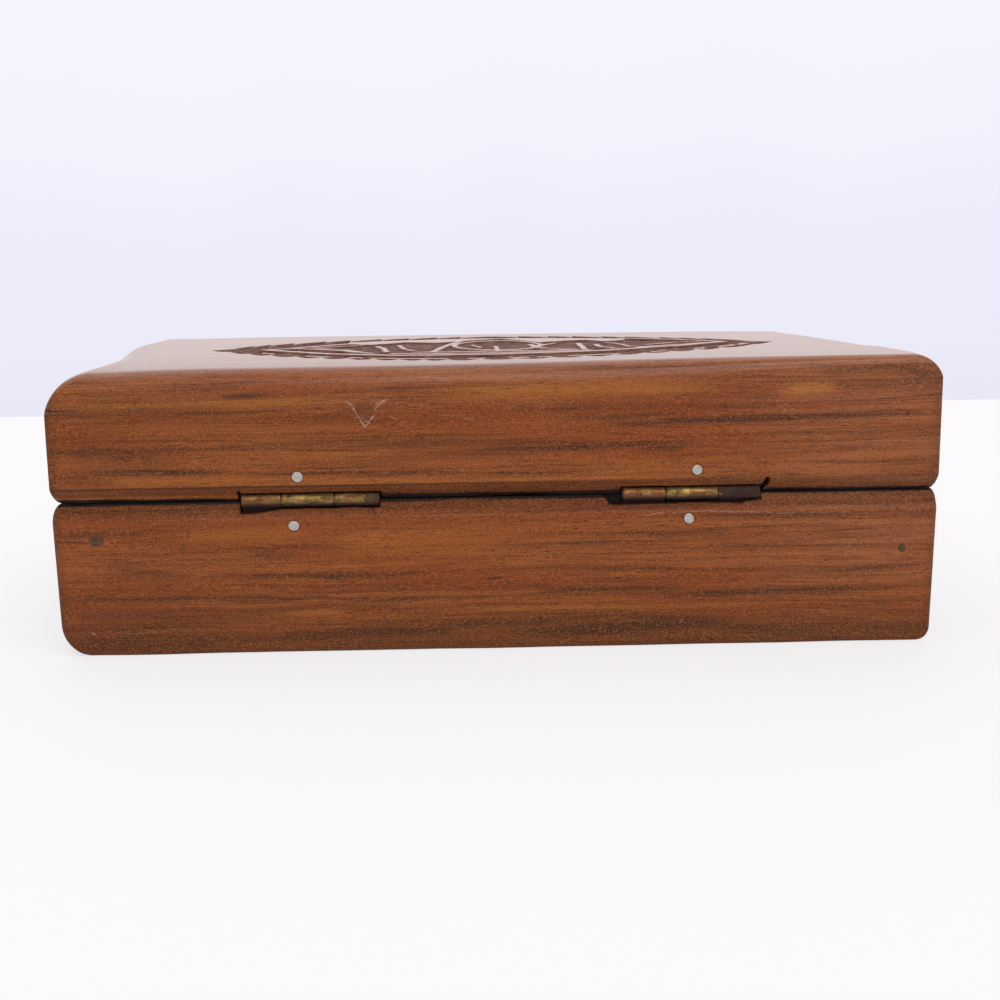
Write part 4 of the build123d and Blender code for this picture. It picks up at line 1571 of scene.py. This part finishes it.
# Hinge nails: depth below the filed end and share of the radius, ring by ring to the tapered point
nail_profile = (
    (0.0, 0.45), (0.006, 0.80), (0.02, 0.94), (0.05, 1.0), (0.2, 1.0), (1.2, 1.0), (4.0, 1.0),
    (7.2, 1.0), (8.1, 0.66), (8.95, 0.36),
)
nail_caps = (0.004, 8.95)
nail_segments = 28
nail_ripple = (0.13, 1.6)

# Filled nail holes: half sizes of the two ovals, then rings and caps as above
plug_radius = 1.1
plug_half_sizes = {"right": (1.45, 1.05), "left": (0.75, 0.95)}
plug_profile = ((0.01, 0.80), (0.025, 0.95), (0.06, 1.0), (1.01, 1.0))
plug_caps = (0.008, 1.0)
plug_segments = 40
plug_ripple = (0.22, 1.7)


def build_nail(node, seed, flattened):
    """Hinge nail: irregular end filed nearly flush, straight shank and a tapered point."""
    low, high = node_box(node)
    middle_x, _, middle_z = (low + high) / 2
    radius = (high[0] - low[0]) / 2
    half_sizes = (radius, radius * (1.0 - flattened))
    points, faces = round_pin(
        (middle_x, middle_z), half_sizes, high[1], nail_profile, nail_caps, nail_segments, nail_ripple, seed,
    )
    body = body_of("lid" in node)
    make_object(node + "_worn", points, faces, steel, body, (node,))


def build_plugs():
    """Filled nail holes of the back and front: irregular ovals, flush with the wood."""
    node = "base_nail_plugs"
    low, high = node_box(node)
    middles = {"right": (high - plug_radius)[[0, 2]], "left": (low + plug_radius)[[0, 2]]}
    parts = []
    for number, (side, middle) in enumerate(middles.items()):
        for face_y in (half_depth, -half_depth):
            parts.append(round_pin(
                middle, plug_half_sizes[side], face_y, plug_profile, plug_caps, plug_segments, plug_ripple,
                470 + number,
            ))
    points, faces = join_parts(parts)
    make_object(node + "_filled", points, faces, filler, "base", (node,))


def build_hinges():
    """Leaves and nails of both hinges."""
    nail_flatness = (0.04, -0.04)
    for number, hinge in enumerate(hinge_names):
        build_leaf(hinge, True, 300 + 10 * number)
        build_leaf(hinge, False, 340 + 10 * number)
        build_nail(hinge + "_lid_nail", 401 + number, 0.0)
        build_nail(hinge + "_base_nail", 411 + number, nail_flatness[number])


def dress_solids():
    """Materials of the solids that stay as they are."""
    plain = {"base_floor_panel": floor_wood, "base_corner_nails": steel}
    for hinge in hinge_names:
        plain[hinge + "_pin"] = steel
    for node, material in plain.items():
        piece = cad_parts[node]
        piece.data.materials.clear()
        piece.data.materials.append(material)


# Surroundings
table_white = (0.86, 0.845, 0.855)
table_seen = (1.0, 0.985, 0.995)
table_seen_share = 0.68
table_roughness = 0.6
table_gloss = 0.1
table_half_size = 3000.0
table_end_y = -357.0
backdrop_low = (0.815, 0.815, 0.915)
backdrop_middle = (0.850, 0.836, 0.957)
backdrop_high = (0.915, 0.905, 0.99)
gloss_ahead = (0.95, 0.90, 0.92)
gloss_behind = (0.22, 0.21, 0.21)
diffuse_light = (0.47, 0.475, 0.50)

# Soft lamps: where they stand, strength, spread in degrees, colour
lamps = {
    "key_lamp": ((-0.35, 0.75, 0.85), 1.25, 50.0, (1.0, 0.97, 0.95)),
    "top_lamp": ((0.2, 0.1, 1.0), 0.55, 80.0, (1.0, 0.99, 0.98)),
    "far_lamp": ((0.1, -0.7, 0.9), 0.5, 60.0, (1.0, 0.99, 0.99)),
}


def build_table():
    """Pale table with a straight far edge, lifted towards white where the camera sees it."""
    material, tree, shader = new_material("pale_table")
    shader.inputs["Base Color"].default_value = (*table_white, 1.0)
    shader.inputs["Roughness"].default_value = table_roughness
    shader.inputs["Specular IOR Level"].default_value = table_gloss
    glow = tree.nodes.new("ShaderNodeEmission")
    glow.inputs["Color"].default_value = (*table_seen, 1.0)
    path = tree.nodes.new("ShaderNodeLightPath")
    mix = tree.nodes.new("ShaderNodeMixShader")
    feed(mix.inputs[0], Signal(path.outputs["Is Camera Ray"]) * table_seen_share)
    tree.links.new(shader.outputs[0], mix.inputs[1])
    tree.links.new(glow.outputs[0], mix.inputs[2])
    tree.links.new(mix.outputs[0], tree.nodes["Material Output"].inputs[0])
    size = table_half_size
    mesh = bpy.data.meshes.new("table")
    corners = [(-size, table_end_y, 0), (size, table_end_y, 0), (size, size, 0), (-size, size, 0)]
    mesh.from_pydata([tuple(c * MM for c in corner) for corner in corners], [], [(0, 1, 2, 3)])
    mesh.materials.append(material)
    table = bpy.data.objects.new("table", mesh)
    bpy.context.scene.collection.objects.link(table)


def build_world():
    """Even studio light; the pale lavender backdrop is seen directly and in gloss."""
    world = bpy.data.worlds.new("studio")
    bpy.context.scene.world = world
    world.use_nodes = True
    tree = world.node_tree
    tree.nodes.clear()
    direction = tree.nodes.new("ShaderNodeTexCoord").outputs["Generated"]
    x, y, z = split_vector(tree, direction)
    folds = noise((x, y, z), (7.0, 1.0, 1.5))
    height = z + (folds - 0.5) * 0.08
    backdrop = mix_colour(remap(height, -0.10, -0.02), backdrop_low, backdrop_middle)
    backdrop = mix_colour(remap(height, 0.0, 0.16), backdrop, backdrop_high)
    gloss = mix_colour(remap(y, -0.15, 0.35), gloss_ahead, gloss_behind)
    path = tree.nodes.new("ShaderNodeLightPath")
    colour = mix_colour(Signal(path.outputs["Is Glossy Ray"]), diffuse_light, gloss)
    direct = [Signal(path.outputs[name]) for name in ("Is Camera Ray", "Is Transmission Ray")]
    background = tree.nodes.new("ShaderNodeBackground")
    background.inputs["Strength"].default_value = 1.0
    feed(background.inputs["Color"], mix_colour(strongest(*direct), colour, backdrop))
    output = tree.nodes.new("ShaderNodeOutputWorld")
    tree.links.new(background.outputs[0], output.inputs[0])


def build_lamps():
    """Distant soft lamps on the camera's side, above and on the far side."""
    for name, (place, strength, spread_degrees, colour) in lamps.items():
        data = bpy.data.lights.new(name, "SUN")
        data.energy = strength
        data.angle = math.radians(spread_degrees)
        data.color = colour
        lamp = bpy.data.objects.new(name, data)
        lamp.matrix_world = (-Vector(place)).to_track_quat("-Z", "Y").to_matrix().to_4x4()
        bpy.context.scene.collection.objects.link(lamp)


bpy.context.scene.view_settings.view_transform = "Standard"
make_camera()
lid_top_wood = wood_material("lid_top_wood", with_marks=True, carved=True)
long_grain_wood = wood_material("long_grain_wood", with_marks=True)
cross_grain_wood = wood_material("cross_grain_wood", along_y=True, seed=1.0)
floor_wood = wood_material("floor_wood", seed=2.0)
brass = brass_material()
steel = steel_material()
filler = filler_material()
build_lid_top()
build_boards()
build_hinges()
build_plugs()
dress_solids()
build_table()
build_world()
build_lamps()
